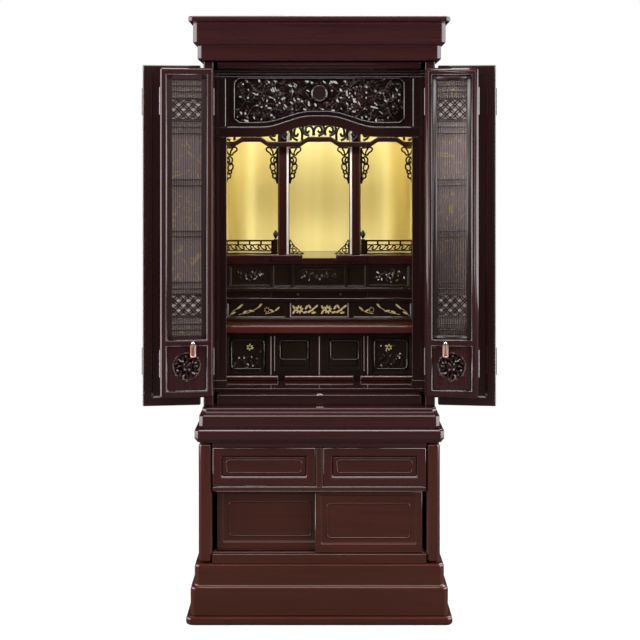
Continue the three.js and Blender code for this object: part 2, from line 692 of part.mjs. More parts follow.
// Case of the small drawer, standing on the upper shelf
const caseInner = smallDrawerHalf + slideGap;
const caseTop = dadoBottom - touch;
const bandFront = inlayCaseFront;
place("drawer_case", join(
  shelf(upperShelfFront, [upperShelfBottom, drawerBandBottom]),
  block([-fitHalf, fitHalf], [bandFront + smallDrawerDepth + 2, backInner], [drawerBandBottom - 1, caseTop]),
  ...sides.map(([, s]) => block(
    [s * caseInner, s * fitHalf], [bandFront, backInner], [drawerBandBottom - 1, caseTop]))), darkRosewood());
const trayBottom = drawerBandBottom + slideGap;
const trayTop = caseTop - slideGap;
const trayBack = bandFront + smallDrawerDepth;
const smallKnobs = sides.map(([, s]) => new THREE.SphereGeometry(3.2, 8, 6)
  .translate(s * 53, bandFront - 2.4, (trayBottom + trayTop) / 2));
place("altar_drawer", join(
  cut(block([-smallDrawerHalf, smallDrawerHalf], [bandFront, trayBack], [trayBottom, trayTop]),
    block([-smallDrawerHalf + 5, smallDrawerHalf - 5], [bandFront + 9, trayBack - 5],
      [trayBottom + 3, trayTop + 5])),
  ...smallKnobs), rosewood());

// Inlaid stage: three sunk fields between pairs of mullions, on a moulded foot
const inlayTop = upperShelfBottom - touch;
const inlayFieldOuter = fitHalf - 9.5;
const inlayMullion = 78;
const inlayMullionHalf = 6.5;
let inlay = stage(inlayCaseFront, [inlayCaseBottom, inlayTop]);
const inlayFields = [
  [-inlayMullion + inlayMullionHalf, inlayMullion - inlayMullionHalf],
  ...sides.map(([, s]) => [s * (inlayMullion + inlayMullionHalf), s * inlayFieldOuter]),
];
for (const [x0, x1] of inlayFields) {
  inlay = sunkPanel(inlay, [x0, x1, inlayCaseBottom + 10, inlayTop - 4], inlayCaseFront, -1,
    { depth: 2, bevel: 1, field: 0 });
}
place("inlay_case", join(inlay, shelf(inlayCaseFront - 4, [inlayCaseBottom, inlayCaseBottom + 7])), darkRosewood());

// Lower shelf, with a rounded front edge
const lowerShelfTop = inlayCaseBottom - touch;
place("lower_shelf", across(outline([
  [lowerShelfFront, lowerShelfBottom + 3], [lowerShelfFront + 3, lowerShelfBottom],
  [backInner, lowerShelfBottom], [backInner, lowerShelfTop], [lowerShelfFront + 3, lowerShelfTop],
  [lowerShelfFront, lowerShelfTop - 3],
]), [-fitHalf, fitHalf]), redRosewood());

// Lower cupboards: two panelled doors between two carved corner panels
const cupboardTop = lowerShelfBottom - touch;
const cupboardBottom = altarFloorHeight + touch;
let cupboard = stage(cupboardFront, [cupboardBottom, cupboardTop]);
for (const [, s] of sides) {
  const doorPanel = [s * (cupboardDoorInner + 8), s * (cupboardDoorOuter - 8), cupboardBottom + 22, cupboardTop - 18];
  cupboard = sunkPanel(cupboard, doorPanel, cupboardFront, -1, { depth: 4, bevel: 3, margin: 6 });
  const cornerPanel = [s * cornerPanelInner, s * cornerPanelOuter, cupboardBottom + 14, cupboardTop - 12];
  cupboard = sunkPanel(cupboard, cornerPanel, cupboardFront, -1, { depth: 4, bevel: 3, field: 0 });
}
const stileBars = sides.flatMap(([, s]) => [cupboardDoorInner - 3, cupboardDoorOuter, cornerPanelInner - 8].map(
  (x) => block([s * x, s * (x + 4)], [cupboardFront - 2, cupboardFront + 1], [cupboardBottom, cupboardTop])));
place("cupboard", join(
  cupboard, ...stileBars,
  ...sides.flatMap(([, s]) => sprig(s * (cornerPanelInner + cornerPanelOuter) / 2, cupboardFront + 4, cupboardBottom + 42, s, 34))), darkRosewood());

// Low rail of three round-ended bars in front of the cupboards
const lowRailOuter = fitHalf - lowRailBeside;
const lowRails = [
  ["left", -lowRailOuter, -lowRailSplit], ["middle", -lowRailMiddleHalf, lowRailMiddleHalf],
  ["right", lowRailSplit, lowRailOuter],
];
for (const [part, x0, x1] of lowRails) {
  const bar = outline([
    [x0, lowRailFront + 2], [x0 + 2, lowRailFront], [x1 - 2, lowRailFront], [x1, lowRailFront + 2],
    [x1, lowRailFront + lowRailDepth], [x0, lowRailFront + lowRailDepth],
  ]);
  const z0 = altarFloorHeight + touch;
  place(`low_rail_${part}`, upright(bar, [z0, z0 + lowRailHeight]), redRosewood());
}

// Pillars, and the valance in front of them with three flattened arches
const pillarOuter = pillarInner + pillarWidth;
const pillarTop = fretTop + 10;
for (const [side, s] of sides) {
  const chamfer = 3;
  const y0 = pillarFront;
  const y1 = pillarFront + pillarDepth;
  place(`pillar_${side}`, upright(outline([
    [s * pillarInner, y0 + chamfer], [s * (pillarInner + chamfer), y0], [s * (pillarOuter - chamfer), y0],
    [s * pillarOuter, y0 + chamfer], [s * pillarOuter, y1], [s * pillarInner, y1],
  ]), [platformTop + touch, pillarTop]), darkRosewood());
}
const valanceSlope = 19;
function valanceLine(lift) {
  const bays = [
    [-liningHalf, -pillarOuter], [-pillarInner, pillarInner], [pillarOuter, liningHalf],
  ];
  return bays.flatMap(([x0, x1]) => {
    const shoulder = Math.abs(x1 - x0) * 0.18;
    return [
      [x0, valanceFoot + lift], [x0 + shoulder, valanceFoot + lift],
      [x0 + shoulder + valanceSlope, valanceFoot + valanceRise + lift],
      [x1 - shoulder - valanceSlope, valanceFoot + valanceRise + lift],
      [x1 - shoulder, valanceFoot + lift], [x1, valanceFoot + lift],
    ];
  });
}
const valanceBack = pillarFront - touch;
place("valance", elevation(
  outline([...valanceLine(0), ...valanceLine(valanceBand).reverse()]),
  [valanceBack - valanceThickness, valanceBack]), darkRosewood());

// Fretwork of scrolls standing on the valance
const fretShape = outline([...valanceLine(valanceBand + touch), [liningHalf, fretTop], [-liningHalf, fretTop]]);
const fretHoles = [];
const fretBase = valanceFoot + valanceRise + valanceBand;
const fretPitch = 39;
const fretCount = Math.floor((2 * liningHalf - 10) / fretPitch);
for (let i = 0; i < fretCount; i += 1) {
  const x = (i - (fretCount - 1) / 2) * fretPitch;
  const lean = 4 * (i % 2 ? 1 : -1);
  fretHoles.push(outline([
    [x - 13, fretBase + 5], [x + 13, fretBase + 5], [x + 13 + lean / 2, fretTop - 14], [x + lean, fretTop - 4],
    [x - 13 + lean / 2, fretTop - 14],
  ]));
}
place("fretwork", pierced(
  fretShape, fretHoles, [valanceBack - fretThickness - 4, valanceBack - 4]), darkRosewood());

// Scroll brackets hanging from the valance beside each pillar and at both walls
const bracketEdge = [
  [30, 0], [27, -12], [14, -24], [19, -36], [12, -46], [18, -56], [9, -66], [12, -75], [5, -82],
];
const bracketHoles = [
  [[4, -4], [24, -4], [14, -17], [4, -14]],
  [[4, -25], [11, -29], [13, -37], [4, -42]],
  [[4, -47], [10, -49], [13, -55], [4, -62]],
  [[3, -68], [7, -70], [7, -75], [3, -78]],
];
const bracketPlaces = sides.flatMap(([side, s]) => [
  [`${side}_wall`, s * liningHalf, -s], [`${side}_outer`, s * pillarOuter + s * touch, s],
  [`${side}_inner`, s * pillarInner - s * touch, -s],
]);
for (const [where, x, s] of bracketPlaces) {
  const top = valanceFoot - touch;
  const scale = bracketDrop / 92;
  const at = ([u, v]) => [x + s * u, top + v * scale];
  const shape = outline([[0, 0], ...bracketEdge, [0, -92]].map(at));
  const holes = bracketHoles.map((hole) => outline(hole.map(at)));
  const y = pillarFront + 6;
  place(`bracket_${where}`, pierced(shape, holes, [y, y + bracketThickness]), darkRosewood());
}

// Balustrades in the side bays, each ending in a post with a finial
const balustradePostAt = pillarOuter + touch + balustradePostHalf;
for (const [side, s] of sides) {
  const z0 = platformTop + touch;
  const x0 = balustradePostAt + balustradePostHalf - 1;
  const x1 = liningHalf;
  const y = balustradeFront;
  const panel = outline([[s * x0, z0], [s * x1, z0], [s * x1, balustradeTop], [s * x0, balustradeTop]]);
  const width = (x1 - x0 - 10) / 4;
  const holes = [];
  for (let i = 0; i < 4; i += 1) {
    const u0 = x0 + 8 + i * width;
    const u1 = u0 + width - 5;
    const middle = (u0 + u1) / 2;
    holes.push(outline([
      [s * u0, balustradeTop - 10], [s * u1, balustradeTop - 10], [s * u1, balustradeTop - 5],
      [s * u0, balustradeTop - 5],
    ]));
    holes.push(outline([
      [s * u0, z0 + 14], [s * middle, z0 + 17], [s * u1, z0 + 14], [s * u1, z0 + 24], [s * middle, z0 + 21],
      [s * u0, z0 + 24],
    ]));
  }
  holes.push(outline([
    [s * (x0 + 8), z0 + 5], [s * (x1 - 7), z0 + 5], [s * (x1 - 7), z0 + 9], [s * (x0 + 8), z0 + 9],
  ]));
  const half = balustradePostHalf;
  const postX = s * balustradePostAt;
  const postY = y + balustradeThickness / 2;
  const post = block(
    [postX - half, postX + half], [postY - half, postY + half], [platformTop + touch, balustradeTop + 2]);
  const finial = new THREE.LatheGeometry([
    new THREE.Vector2(0, 0), new THREE.Vector2(4.5, 0), new THREE.Vector2(3, 6), new THREE.Vector2(5.2, 14),
    new THREE.Vector2(3.6, 20), new THREE.Vector2(0, finialHeight),
  ], 6).rotateX(Math.PI / 2).translate(postX, postY, balustradeTop);
  place(`balustrade_${side}`, join(
    pierced(panel, holes, [y, y + balustradeThickness]), post, finial), darkRosewood());
}

// Triangular openwork brackets at the inner feet of the pillars
for (const [side, s] of sides) {
  const x = s * (pillarInner - touch);
  const z0 = platformTop + touch;
  const reach = cornerBracketReach;
  const at = ([u, v]) => [x - s * u, z0 + v];
  const shape = outline([[0, 0], [reach - 4, 0], [reach - 6, 5], [14, 20], [5, reach], [0, reach]].map(at));
  const holes = [
    [[4, 4], [12, 4], [12, 12], [4, 12]], [[16, 4], [26, 4], [16, 14]], [[3.5, 16], [9, 16], [4, 28]],
  ].map((hole) => outline(hole.map(at)));
  const y = pillarFront + 8;
  place(`corner_bracket_${side}`, pierced(shape, holes, [y, y + bracketThickness]), darkRosewood());
}

// Outer doors. Each side is a group that turns on the hinge line, and in it a group for the end leaf,
// which folds back outside against the first. The leaves are drawn shut and turned open.
const outerBottom = cabinetBaseHeight + 1.7;
const outerTop = cabinetTop - 9;
function outerLeaf(s, start, [y0, y1]) {
  const x0 = -s * start;
  const x1 = -s * (start + outerLeafWidth);
  const board = block([x0, x1], [y0, y1], [outerBottom, outerTop]);
  const panel = [x0 - s * 20, x1 + s * 20, outerBottom + 19, outerTop - 17];
  const frame = { depth: 3, bevel: 4, field: 0 };
  return sunkPanel(sunkPanel(board, panel, y0, -1, frame), panel, y1, 1, frame);
}
for (const [side, s] of sides) {
  const hinge = new THREE.Group();
  hinge.position.set(s * outerAxis[0], outerAxis[1], 0);
  hinge.rotation.z = s * THREE.MathUtils.degToRad(doorsOpenAngle);
  altar.add(hinge);
  const face = -outerDoorBehind - outerDoorThickness;
  place(`outer_door_${side}`, outerLeaf(s, outerAxisBeside, [face, -outerDoorBehind]), rosewood(), hinge);
  const fold = new THREE.Group();
  fold.position.set(-s * (outerAxisBeside + outerLeafWidth + outerLeafGap / 2), face - outerLeafGap / 2, 0);
  fold.rotation.z = s * Math.PI;
  hinge.add(fold);
  place(`outer_end_door_${side}`, outerLeaf(
    s, outerLeafGap / 2, [outerLeafGap / 2, outerLeafGap / 2 + outerDoorThickness]), rosewood(), fold);
}

// Lattice doors: a stiff frame, a field of thin bars above and an openwork medallion in the panel below
function latticeLeaf(s, start, [y0, y1]) {
  const x = (u) => -s * (start + u);
  const rectangle = ([u0, u1], [z0, z1]) => [[x(u0), z0], [x(u1), z0], [x(u1), z1], [x(u0), z1]];
  const open = [latticeStile, latticeLeafWidth - latticeStile];
  const upper = [latticeMidRailTop, latticeTop - latticeTopRail];
  const lower = [latticeBottom + latticeBottomRail, latticeMidRailBottom];
  const frame = outline(rectangle([0, latticeLeafWidth], [latticeBottom, latticeTop]));
  const windows = [outline(rectangle(open, upper)), outline(rectangle(open, lower))];
  const tuck = 1;
  const field = outline(rectangle(
    [open[0] - tuck, open[1] + tuck], [lower[0] - tuck, upper[1] + tuck]));
  const cells = [];
  const cellWidth = (open[1] - open[0] - 2 * latticeBorder + latticeBar) / latticeColumns;
  const cellHeight = (upper[1] - upper[0] - 2 * latticeBorder + latticeBar) / latticeRows;
  for (let i = 0; i < latticeColumns; i += 1) {
    for (let j = 0; j < latticeRows; j += 1) {
      const u = open[0] + latticeBorder + i * cellWidth;
      const z = upper[0] + latticeBorder + j * cellHeight;
      cells.push(outline(rectangle([u, u + cellWidth - latticeBar], [z, z + cellHeight - latticeBar])));
    }
  }
  const petals = 6;
  const centre = latticeLeafWidth / 2;
  for (let i = 0; i < petals; i += 1) {
    const ray = (turn, radius) => {
      const angle = (i + turn) * 2 * Math.PI / petals;
      return [x(centre + radius * Math.sin(angle)), medallionHeight + radius * Math.cos(angle)];
    };
    cells.push(outline([
      ray(0, medallionRadius * 0.35), ray(0.3, medallionRadius * 0.66), ray(0, medallionRadius * 0.9),
      ray(-0.3, medallionRadius * 0.66),
    ]));
  }
  const middle = (y0 + y1) / 2;
  return join(
    pierced(frame, windows, [y0, y1]),
    pierced(field, cells, [middle - latticeFieldThickness / 2, middle + latticeFieldThickness / 2]));
}
for (const [side, s] of sides) {
  const hinge = new THREE.Group();
  hinge.position.set(s * latticeAxis[0], latticeAxis[1], 0);
  hinge.rotation.z = s * THREE.MathUtils.degToRad(doorsOpenAngle);
  altar.add(hinge);
  const back = latticeSetBack + latticeThickness;
  place(`lattice_door_${side}`, latticeLeaf(s, latticeHingeGap, [latticeSetBack, back]), rosewood(), hinge);
  const fold = new THREE.Group();
  fold.position.set(
    -s * (latticeHingeGap + latticeLeafWidth + latticeLeafGap / 2), back + latticeLeafGap / 2, 0);
  fold.rotation.z = Math.PI;
  hinge.add(fold);
  const face = -latticeLeafGap / 2 - latticeThickness;
  place(`lattice_end_door_${side}`, latticeLeaf(
    s, latticeLeafGap / 2, [face, -latticeLeafGap / 2]), rosewood(), fold);

  // Knob through the middle rail, with a drop plate hanging on it
  const x = -s * (latticeLeafWidth - pullInset);
  const z = (latticeMidRailTop + latticeMidRailBottom) / 2;
  const knob = new THREE.CylinderGeometry(pullKnobRadius, pullKnobRadius * 0.6, pullKnobReach - touch, 12)
    .rotateX(Math.PI).translate(x, face - touch - (pullKnobReach - touch) / 2, z);
  const plate = block([x - 7, x + 7], [face - 4, face - 2.5], [z - 32, z]);
  place(`pull_${side}`, join(knob, plate), copper(), fold);
}

export default altar;
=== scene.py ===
# Household altar cabinet of dark lacquered rosewood, standing with its folding doors open on a small
# gilt altar. Built in the order in which the cabinet is put together. Sizes are in millimetres.

import math
import random

import bpy
from mathutils import Matrix, Vector


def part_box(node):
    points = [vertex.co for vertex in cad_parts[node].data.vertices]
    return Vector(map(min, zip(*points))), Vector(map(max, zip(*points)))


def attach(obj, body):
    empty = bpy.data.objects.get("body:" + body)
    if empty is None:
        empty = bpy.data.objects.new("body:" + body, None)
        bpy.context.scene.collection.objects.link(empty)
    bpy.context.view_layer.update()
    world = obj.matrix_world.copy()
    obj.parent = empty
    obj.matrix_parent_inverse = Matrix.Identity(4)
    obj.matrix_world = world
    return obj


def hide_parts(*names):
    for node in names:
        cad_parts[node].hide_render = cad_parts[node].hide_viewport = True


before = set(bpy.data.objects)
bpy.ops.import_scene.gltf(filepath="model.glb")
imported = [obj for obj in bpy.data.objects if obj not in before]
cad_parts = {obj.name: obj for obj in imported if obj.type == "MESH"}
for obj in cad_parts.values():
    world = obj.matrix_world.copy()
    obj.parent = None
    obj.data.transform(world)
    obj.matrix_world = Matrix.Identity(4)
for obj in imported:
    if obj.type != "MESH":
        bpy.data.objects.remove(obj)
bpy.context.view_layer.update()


# The camera stands three metres in front of the cabinet and looks level, from the height of the arched
# rail under the transom.
bpy.ops.object.camera_add(location=(0, -3.11, 1.0489), rotation=(math.radians(90), 0, 0))
camera = bpy.context.object
camera.data.sensor_width = 36
camera.data.lens = 70.31
camera.data.shift_x = 0.0011
camera.data.shift_y = -0.2422
camera.data.clip_start = 0.1
camera.data.clip_end = 60
bpy.context.scene.camera = camera


# A pale studio floor that fades into the white surround, so that the cabinet stands on plain ground
# with a soft shadow round its foot. Reflected in the lacquer it is nearly black.
def plug(tree, node, inputs):
    """Sets inputs of a shader node, each to a value or to the output of another node."""
    for name, value in inputs.items():
        if isinstance(value, bpy.types.NodeSocket):
            tree.links.new(value, node.inputs[name])
        else:
            node.inputs[name].default_value = value


def grow(tree, kind, inputs, **settings):
    """A new shader node with its settings and inputs."""
    node = tree.nodes.new("ShaderNode" + kind)
    for name, value in settings.items():
        setattr(node, name, value)
    plug(tree, node, inputs)
    return node


def start_finish(name):
    """A new material with its node tree, its shader and the place on the piece that textures read."""
    finish = bpy.data.materials.new(name)
    finish.use_nodes = True
    tree = finish.node_tree
    return finish, tree, tree.nodes["Principled BSDF"], grow(tree, "TexCoord", {}).outputs["Object"]


bpy.ops.mesh.primitive_circle_add(vertices=96, radius=14, fill_type="NGON", location=(0, 0, 0))
floor = bpy.context.object
floor.name = "studio_floor"
floor_paint, tree, shader, place = start_finish("studio_floor_paint")
distance = grow(tree, "VectorMath", {0: place}, operation="LENGTH")
fade = grow(tree, "MapRange", {"Value": distance.outputs["Value"], "From Min": 0.5, "From Max": 1.6})
seen = grow(tree, "LightPath", {}).outputs["Is Camera Ray"]
grey = grow(tree, "Mix", {
    "Factor": seen, "A": (0.05, 0.05, 0.05, 1), "B": (0.75, 0.75, 0.75, 1)}, data_type="RGBA")
plug(tree, shader, {"Roughness": 0.9, "Base Color": grey.outputs["Result"]})
far = grow(tree, "Math", {0: fade.outputs["Result"], 1: seen}, operation="MULTIPLY")
white = grow(tree, "Emission", {})
blend = grow(tree, "MixShader", {
    "Fac": far.outputs["Value"], 1: shader.outputs["BSDF"], 2: white.outputs["Emission"]})
plug(tree, tree.nodes["Material Output"], {"Surface": blend.outputs["Shader"]})
floor.data.materials.append(floor_paint)


# Soft studio light: two screens high in front, a tall one and a strip on each side that draw the light
# lines on the rounded edges, one overhead and one behind. Two small lamps light the altar. The room in
# front of the cabinet is dim.
screens = (
    ("front_screen", (-0.3, -3.0, 2.8), (0, 0, 0.85), 2.4, 1.1, 24),
    ("fill_screen", (0.0, -3.15, 2.25), (0, 0, 1.1), 2.2, 0.2, 8),
    ("left_screen", (-2.1, -0.35, 1.25), (0, -0.35, 1.25), 2.2, 2.9, 115),
    ("right_screen", (2.1, -0.35, 1.25), (0, -0.35, 1.25), 2.2, 2.9, 115),
    ("left_strip", (-2.15, -2.1, 1.2), (0, 0, 1.0), 1.1, 2.4, 42),
    ("right_strip", (2.15, -2.1, 1.2), (0, 0, 1.0), 1.1, 2.4, 42),
    ("top_screen", (0, -0.5, 3.2), (0, -0.3, 0.6), 2.6, 1.8, 130),
    ("back_screen", (0.8, 3.2, 2.6), (0, 0, 0.8), 2.0, 1.6, 60),
    ("altar_lamp", (0, -0.09, 1.245), (0, 0.20, 0.90), 0.40, 0.05, 1.65),
    ("stand_lamp", (0, 0.02, 0.84), (0, 0.22, 0.93), 0.40, 0.04, 0.3),
)
for name, at, target, width, height, power in screens:
    aim = (Vector(target) - Vector(at)).to_track_quat("-Z", "Y").to_euler()
    bpy.ops.object.light_add(type="AREA", location=at, rotation=aim)
    screen = bpy.context.object
    screen.name = name
    screen.data.shape = "RECTANGLE"
    screen.data.size = width
    screen.data.size_y = height
    screen.data.energy = power
    screen.visible_camera = False
world = bpy.data.worlds.new("white_surround")
bpy.context.scene.world = world
world.use_nodes = True
tree = world.node_tree
dim = tree.nodes["Background"]
plug(tree, dim, {"Color": (0.03, 0.03, 0.034, 1)})
bright = grow(tree, "Background", {"Color": (1, 1, 1, 1)})
seen = grow(tree, "LightPath", {}).outputs["Is Camera Ray"]
blend = grow(tree, "MixShader", {
    "Fac": seen, 1: dim.outputs["Background"], 2: bright.outputs["Background"]})
plug(tree, tree.nodes["World Output"], {"Surface": blend.outputs["Shader"]})
bpy.context.scene.view_settings.view_transform = "Standard"


# Foot, plinth and base carcass: boards stained dark red-brown and lacquered to a gloss. The stain is
# a little uneven along the grain, and the lacquer lies round over every edge.
mm = 0.001
sides = (("left", -1), ("right", 1))


def tones(tree, value, *stops):
    """A colour ramp between two stops, each a position and a colour."""
    ramp = grow(tree, "ValToRGB", {"Fac": value})
    for element, (position, colour) in zip(ramp.color_ramp.elements, stops):
        element.position = position
        element.color = (*colour, 1)
    return ramp.outputs["Color"]


def lacquer(name, colour, grain="Z", roughness=0.12, depth=0.14, ior=None):
    """Glossy lacquer over stained wood with its grain along X or Z. Depth says how uneven the stain is."""
    finish, tree, shader, place = start_finish(name)
    stretch = grow(tree, "Mapping", {
        "Vector": place, "Scale": (5, 28, 130) if grain == "X" else (130, 130, 5)})
    streaks = grow(tree, "TexNoise", {
        "Vector": stretch.outputs["Vector"], "Scale": 1, "Detail": 6, "Roughness": 0.62,
        "Distortion": 0.5}).outputs["Fac"]
    clouds = grow(tree, "TexNoise", {"Vector": place, "Scale": 6, "Detail": 2}).outputs["Fac"]
    both = grow(tree, "Math", {0: clouds, 1: 0.35, 2: streaks}, operation="MULTIPLY_ADD")
    stain = tones(tree, both.outputs["Value"],
                  (0.5, [part * (1 - depth) for part in colour]),
                  (0.86, [part * (1 + depth) for part in colour]))
    polish = grow(tree, "MapRange", {
        "Value": streaks, "To Min": roughness * 0.75, "To Max": roughness * 1.3})
    pores = grow(tree, "Bump", {"Height": streaks, "Strength": 0.06, "Distance": 0.0004})
    plug(tree, shader, {
        "Base Color": stain, "Roughness": polish.outputs["Result"], "Normal": pores.outputs["Normal"]})
    if ior:
        plug(tree, shader, {"IOR": ior})
    return finish


def ease(finish, **radii):
    """Lacquers the named boards and rounds their edges by the radius given for each."""
    for name, radius in radii.items():
        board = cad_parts[name]
        board.material_slots[0].material = finish
        corners = board.modifiers.new("shared_corners", "WELD")
        corners.merge_threshold = 0.00002
        faces = board.modifiers.new("whole_faces", "DECIMATE")
        faces.decimate_type = "DISSOLVE"
        faces.angle_limit = math.radians(0.6)
        edges = board.modifiers.new("eased_edges", "BEVEL")
        edges.width = radius * mm
        edges.segments = 3
        edges.profile = 0.3
        edges.limit_method = "ANGLE"
        edges.angle_limit = math.radians(24)
        board.modifiers.new("flat_faces", "WEIGHTED_NORMAL")


brown_across = lacquer("brown_lacquer_across", (0.028, 0.0075, 0.0078), "X")
brown_upright = lacquer("brown_lacquer_upright", (0.031, 0.0085, 0.0078))
red_across = lacquer("red_lacquer_across", (0.041, 0.0094, 0.0052), "X")
red_upright = lacquer("red_lacquer_upright", (0.042, 0.0100, 0.0065))
ease(red_across, foot_board=4, plinth=3.6, base_floor=1, base_shelf=3, base_back=1)
ease(red_upright, base_side_left=9, base_side_right=9)
ease(brown_across, base_top=5)


# Two drawers side by side over the compartment. Each front has a sunk panel with a raised field, and on
# the field a bead with rounded corners. Thin beads also run round the fronts and along shelf and divider.
def hold(piece):
    bpy.ops.object.select_all(action="DESELECT")
    piece.select_set(True)
    bpy.context.view_layer.objects.active = piece


def pick(piece, kind, wanted):
    """Opens the piece in edit mode with only the wanted vertices, edges or polygons selected."""
    bpy.ops.object.mode_set(mode="OBJECT")
    kinds = ("vertices", "edges", "polygons")
    bpy.context.tool_settings.mesh_select_mode = [kind == other for other in kinds]
    for other in kinds:
        for part in getattr(piece.data, other):
            part.select = other == kind and wanted(part)
    bpy.ops.object.mode_set(mode="EDIT")


def looks_forward(face):
    return face.normal.y < -0.9


def cut_block(x, y, z):
    middle = [sum(span) / 2 * mm for span in (x, y, z)]
    size = [abs(span[1] - span[0]) * mm for span in (x, y, z)]
    bpy.ops.mesh.primitive_cube_add(size=1, location=middle, scale=size)
    block = bpy.context.object
    bpy.ops.object.transform_apply()
    return block


def round_edges(piece, radius, angle=30, segments=2, profile=0.5):
    """Rounds every edge that is sharper than the angle; the faces stay flat to the light."""
    hold(piece)
    edges = piece.modifiers.new("eased_edges", "BEVEL")
    edges.width = radius * mm
    edges.segments = segments
    edges.profile = profile
    edges.limit_method = "ANGLE"
    edges.angle_limit = math.radians(angle)
    bpy.ops.object.modifier_apply(modifier="eased_edges")
    bpy.ops.object.shade_smooth_by_angle(angle=math.radians(50))
    piece.modifiers.new("flat_faces", "WEIGHTED_NORMAL")
    bpy.ops.object.modifier_apply(modifier="flat_faces")


def finish_piece(piece, name, finish, body="cabinet", node=None):
    """Gives a made piece its name, finish, body and slot, and the node that it stands for."""
    hold(piece)
    bpy.ops.object.transform_apply()
    piece.name = name
    piece.data.materials.clear()
    piece.data.materials.append(finish)
    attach(piece, body)
    if node:
        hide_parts(node)


def strands(paths, thickness, closed=(), flat=1.0, handles="AUTO"):
    """Thin carved strands through lists of points; those numbered in closed are loops."""
    line = bpy.data.curves.new("strand", "CURVE")
    line.dimensions = "3D"
    line.bevel_depth = thickness / 2 * mm
    line.bevel_resolution = 1
    line.resolution_u = 5
    for number, path in enumerate(paths):
        spline = line.splines.new("BEZIER")
        spline.bezier_points.add(len(path) - 1)
        for knot, point in zip(spline.bezier_points, path):
            knot.co = Vector(point) * mm
            knot.handle_left_type = handles
            knot.handle_right_type = handles
        spline.use_cyclic_u = number in closed
    strand = bpy.data.objects.new("strand", line)
    bpy.context.collection.objects.link(strand)
    line.use_fill_caps = True
    hold(strand)
    bpy.ops.object.convert(target="MESH")
    strand = bpy.context.object
    if flat != 1.0:
        depth = sum(point[1] for path in paths for point in path) / sum(len(path) for path in paths) * mm
        strand.data.transform(
            Matrix.Translation((0, depth, 0)) @ Matrix.Diagonal((1, flat, 1, 1))
            @ Matrix.Translation((0, -depth, 0)))
    return strand


def join_pieces(first, *others):
    bpy.ops.object.select_all(action="DESELECT")
    for other in others:
        other.select_set(True)
    first.select_set(True)
    bpy.context.view_layer.objects.active = first
    bpy.ops.object.join()
    return first


def bead_loop(x0, x1, z0, z1, y, radius):
    """Points of a rounded rectangle, for a bead that runs round a field."""
    points = []
    for x, z, first in ((x1 - radius, z1 - radius, 0), (x0 + radius, z1 - radius, 90),
                        (x0 + radius, z0 + radius, 180), (x1 - radius, z0 + radius, 270)):
        for step in range(4):
            turn = math.radians(first + 30 * step)
            points.append((x + radius * math.cos(turn), y, z + radius * math.sin(turn)))
    return points


def square_loop(x0, x1, z0, z1, y):
    return [(x0, y, z0), (x1, y, z0), (x1, y, z1), (x0, y, z1)]


def node_limits(node):
    return [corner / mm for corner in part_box(node)]


bead_lacquer = lacquer("bead_lacquer", (0.022, 0.0085, 0.0080), "X", 0.1, ior=2.3)
wine_across = lacquer("wine_lacquer_across", (0.033, 0.0078, 0.0060), "X")
ease(wine_across, drawer_left=3.4, drawer_right=3.4)
field_outer = 222.5
field_inner = 31.9
field_front = -235.3
bead_from_field_edge = 9
bead_from_edge = 1.8
bead_depth = 1.2


def bead_edges(name, body, x, z, front):
    """A thin bead just inside the four front edges of a drawer or door."""
    edge = square_loop(x[0] + bead_from_edge, x[1] - bead_from_edge, z[0] + bead_from_edge,
                       z[1] - bead_from_edge, front + bead_depth)
    finish_piece(strands([edge], 3.0, (0,), handles="VECTOR"), name, bead_lacquer, body)


for side, s in sides:
    panel = cut_block((s * field_inner, s * field_outer), (field_front, -232.2), (334.4, 376.5))
    round_edges(panel, 1.2, 40)
    low, high = sorted((s * (field_inner + bead_from_field_edge), s * (field_outer - bead_from_field_edge)))
    bead = strands([bead_loop(low, high, 341, 370, field_front + 0.1, 6)], 3.2, (0,), 0.8, "VECTOR")
    finish_piece(join_pieces(panel, bead), f"drawer_field_{side}", wine_across, f"drawer_{side}")
    low, high = node_limits(f"drawer_{side}")
    bead_edges(f"drawer_edge_{side}", f"drawer_{side}", (low[0], high[0]), (low[2], high[2]), low[1])
y = node_limits("base_shelf")[0][1] + bead_depth
rail_lines = [[(x, y, z) for x in (-237, 0, 237)] for z in (308.2, 298.8)]
rail_lines += [[(x, y, z) for z in (311, 355, 398)] for x in (-6.5, 6.5)]
finish_piece(strands(rail_lines, 3.2), "rail_beads", bead_lacquer)


# Two sliding doors, the right one in front. A bevelled frame lies round a sunk panel with a bead on it,
# all from one lacquered board with a tongue that runs in grooves in the floor and the shelf.
door_thickness = 14
frame_width = 13
panel_lift = 6
panel_slope = 3.4
door_inner = -10.4
door_outer = 237.6
door_low = 155.4
door_high = 296.5
for side, s in sides:
    front = -215 if s < 0 else -231
    door = cut_block((s * door_inner, s * door_outer), (front, front + door_thickness), (door_low, door_high))
    pick(door, "polygons", looks_forward)
    bpy.ops.mesh.inset(thickness=frame_width * mm, depth=0)
    bpy.ops.transform.translate(value=(0, 0, panel_lift * mm))
    middle = s * (door_inner + door_outer) / 2 * mm
    pick(door, "polygons", lambda face: looks_forward(face) and abs(face.center.x - middle) < 1e-4
         and 0.2 < face.center.z < 0.25)
    bpy.ops.mesh.inset(thickness=panel_slope * mm, depth=-panel_slope * mm)
    bpy.ops.object.mode_set(mode="OBJECT")
    tongue = cut_block((s * door_inner, s * door_outer), (front + 4.5, front + 9.5), (150.4, 300))
    low, high = sorted((s * 18.5, s * 208.7))
    bead = strands([bead_loop(low, high, 189, 268.5, front + 3.2, 7)], 3.6, (0,), 0.8, "VECTOR")
    round_edges(join_pieces(door, tongue), 1.6, 30, 3, 0.3)
    join_pieces(door, bead)
    bead_edges(f"sliding_edge_{side}", f"sliding_{side}", sorted((s * door_inner, s * door_outer)),
               (door_low, door_high), front)
    finish_piece(door, f"sliding_front_{side}", red_across, f"sliding_{side}",
                 f"sliding_door_{side}")


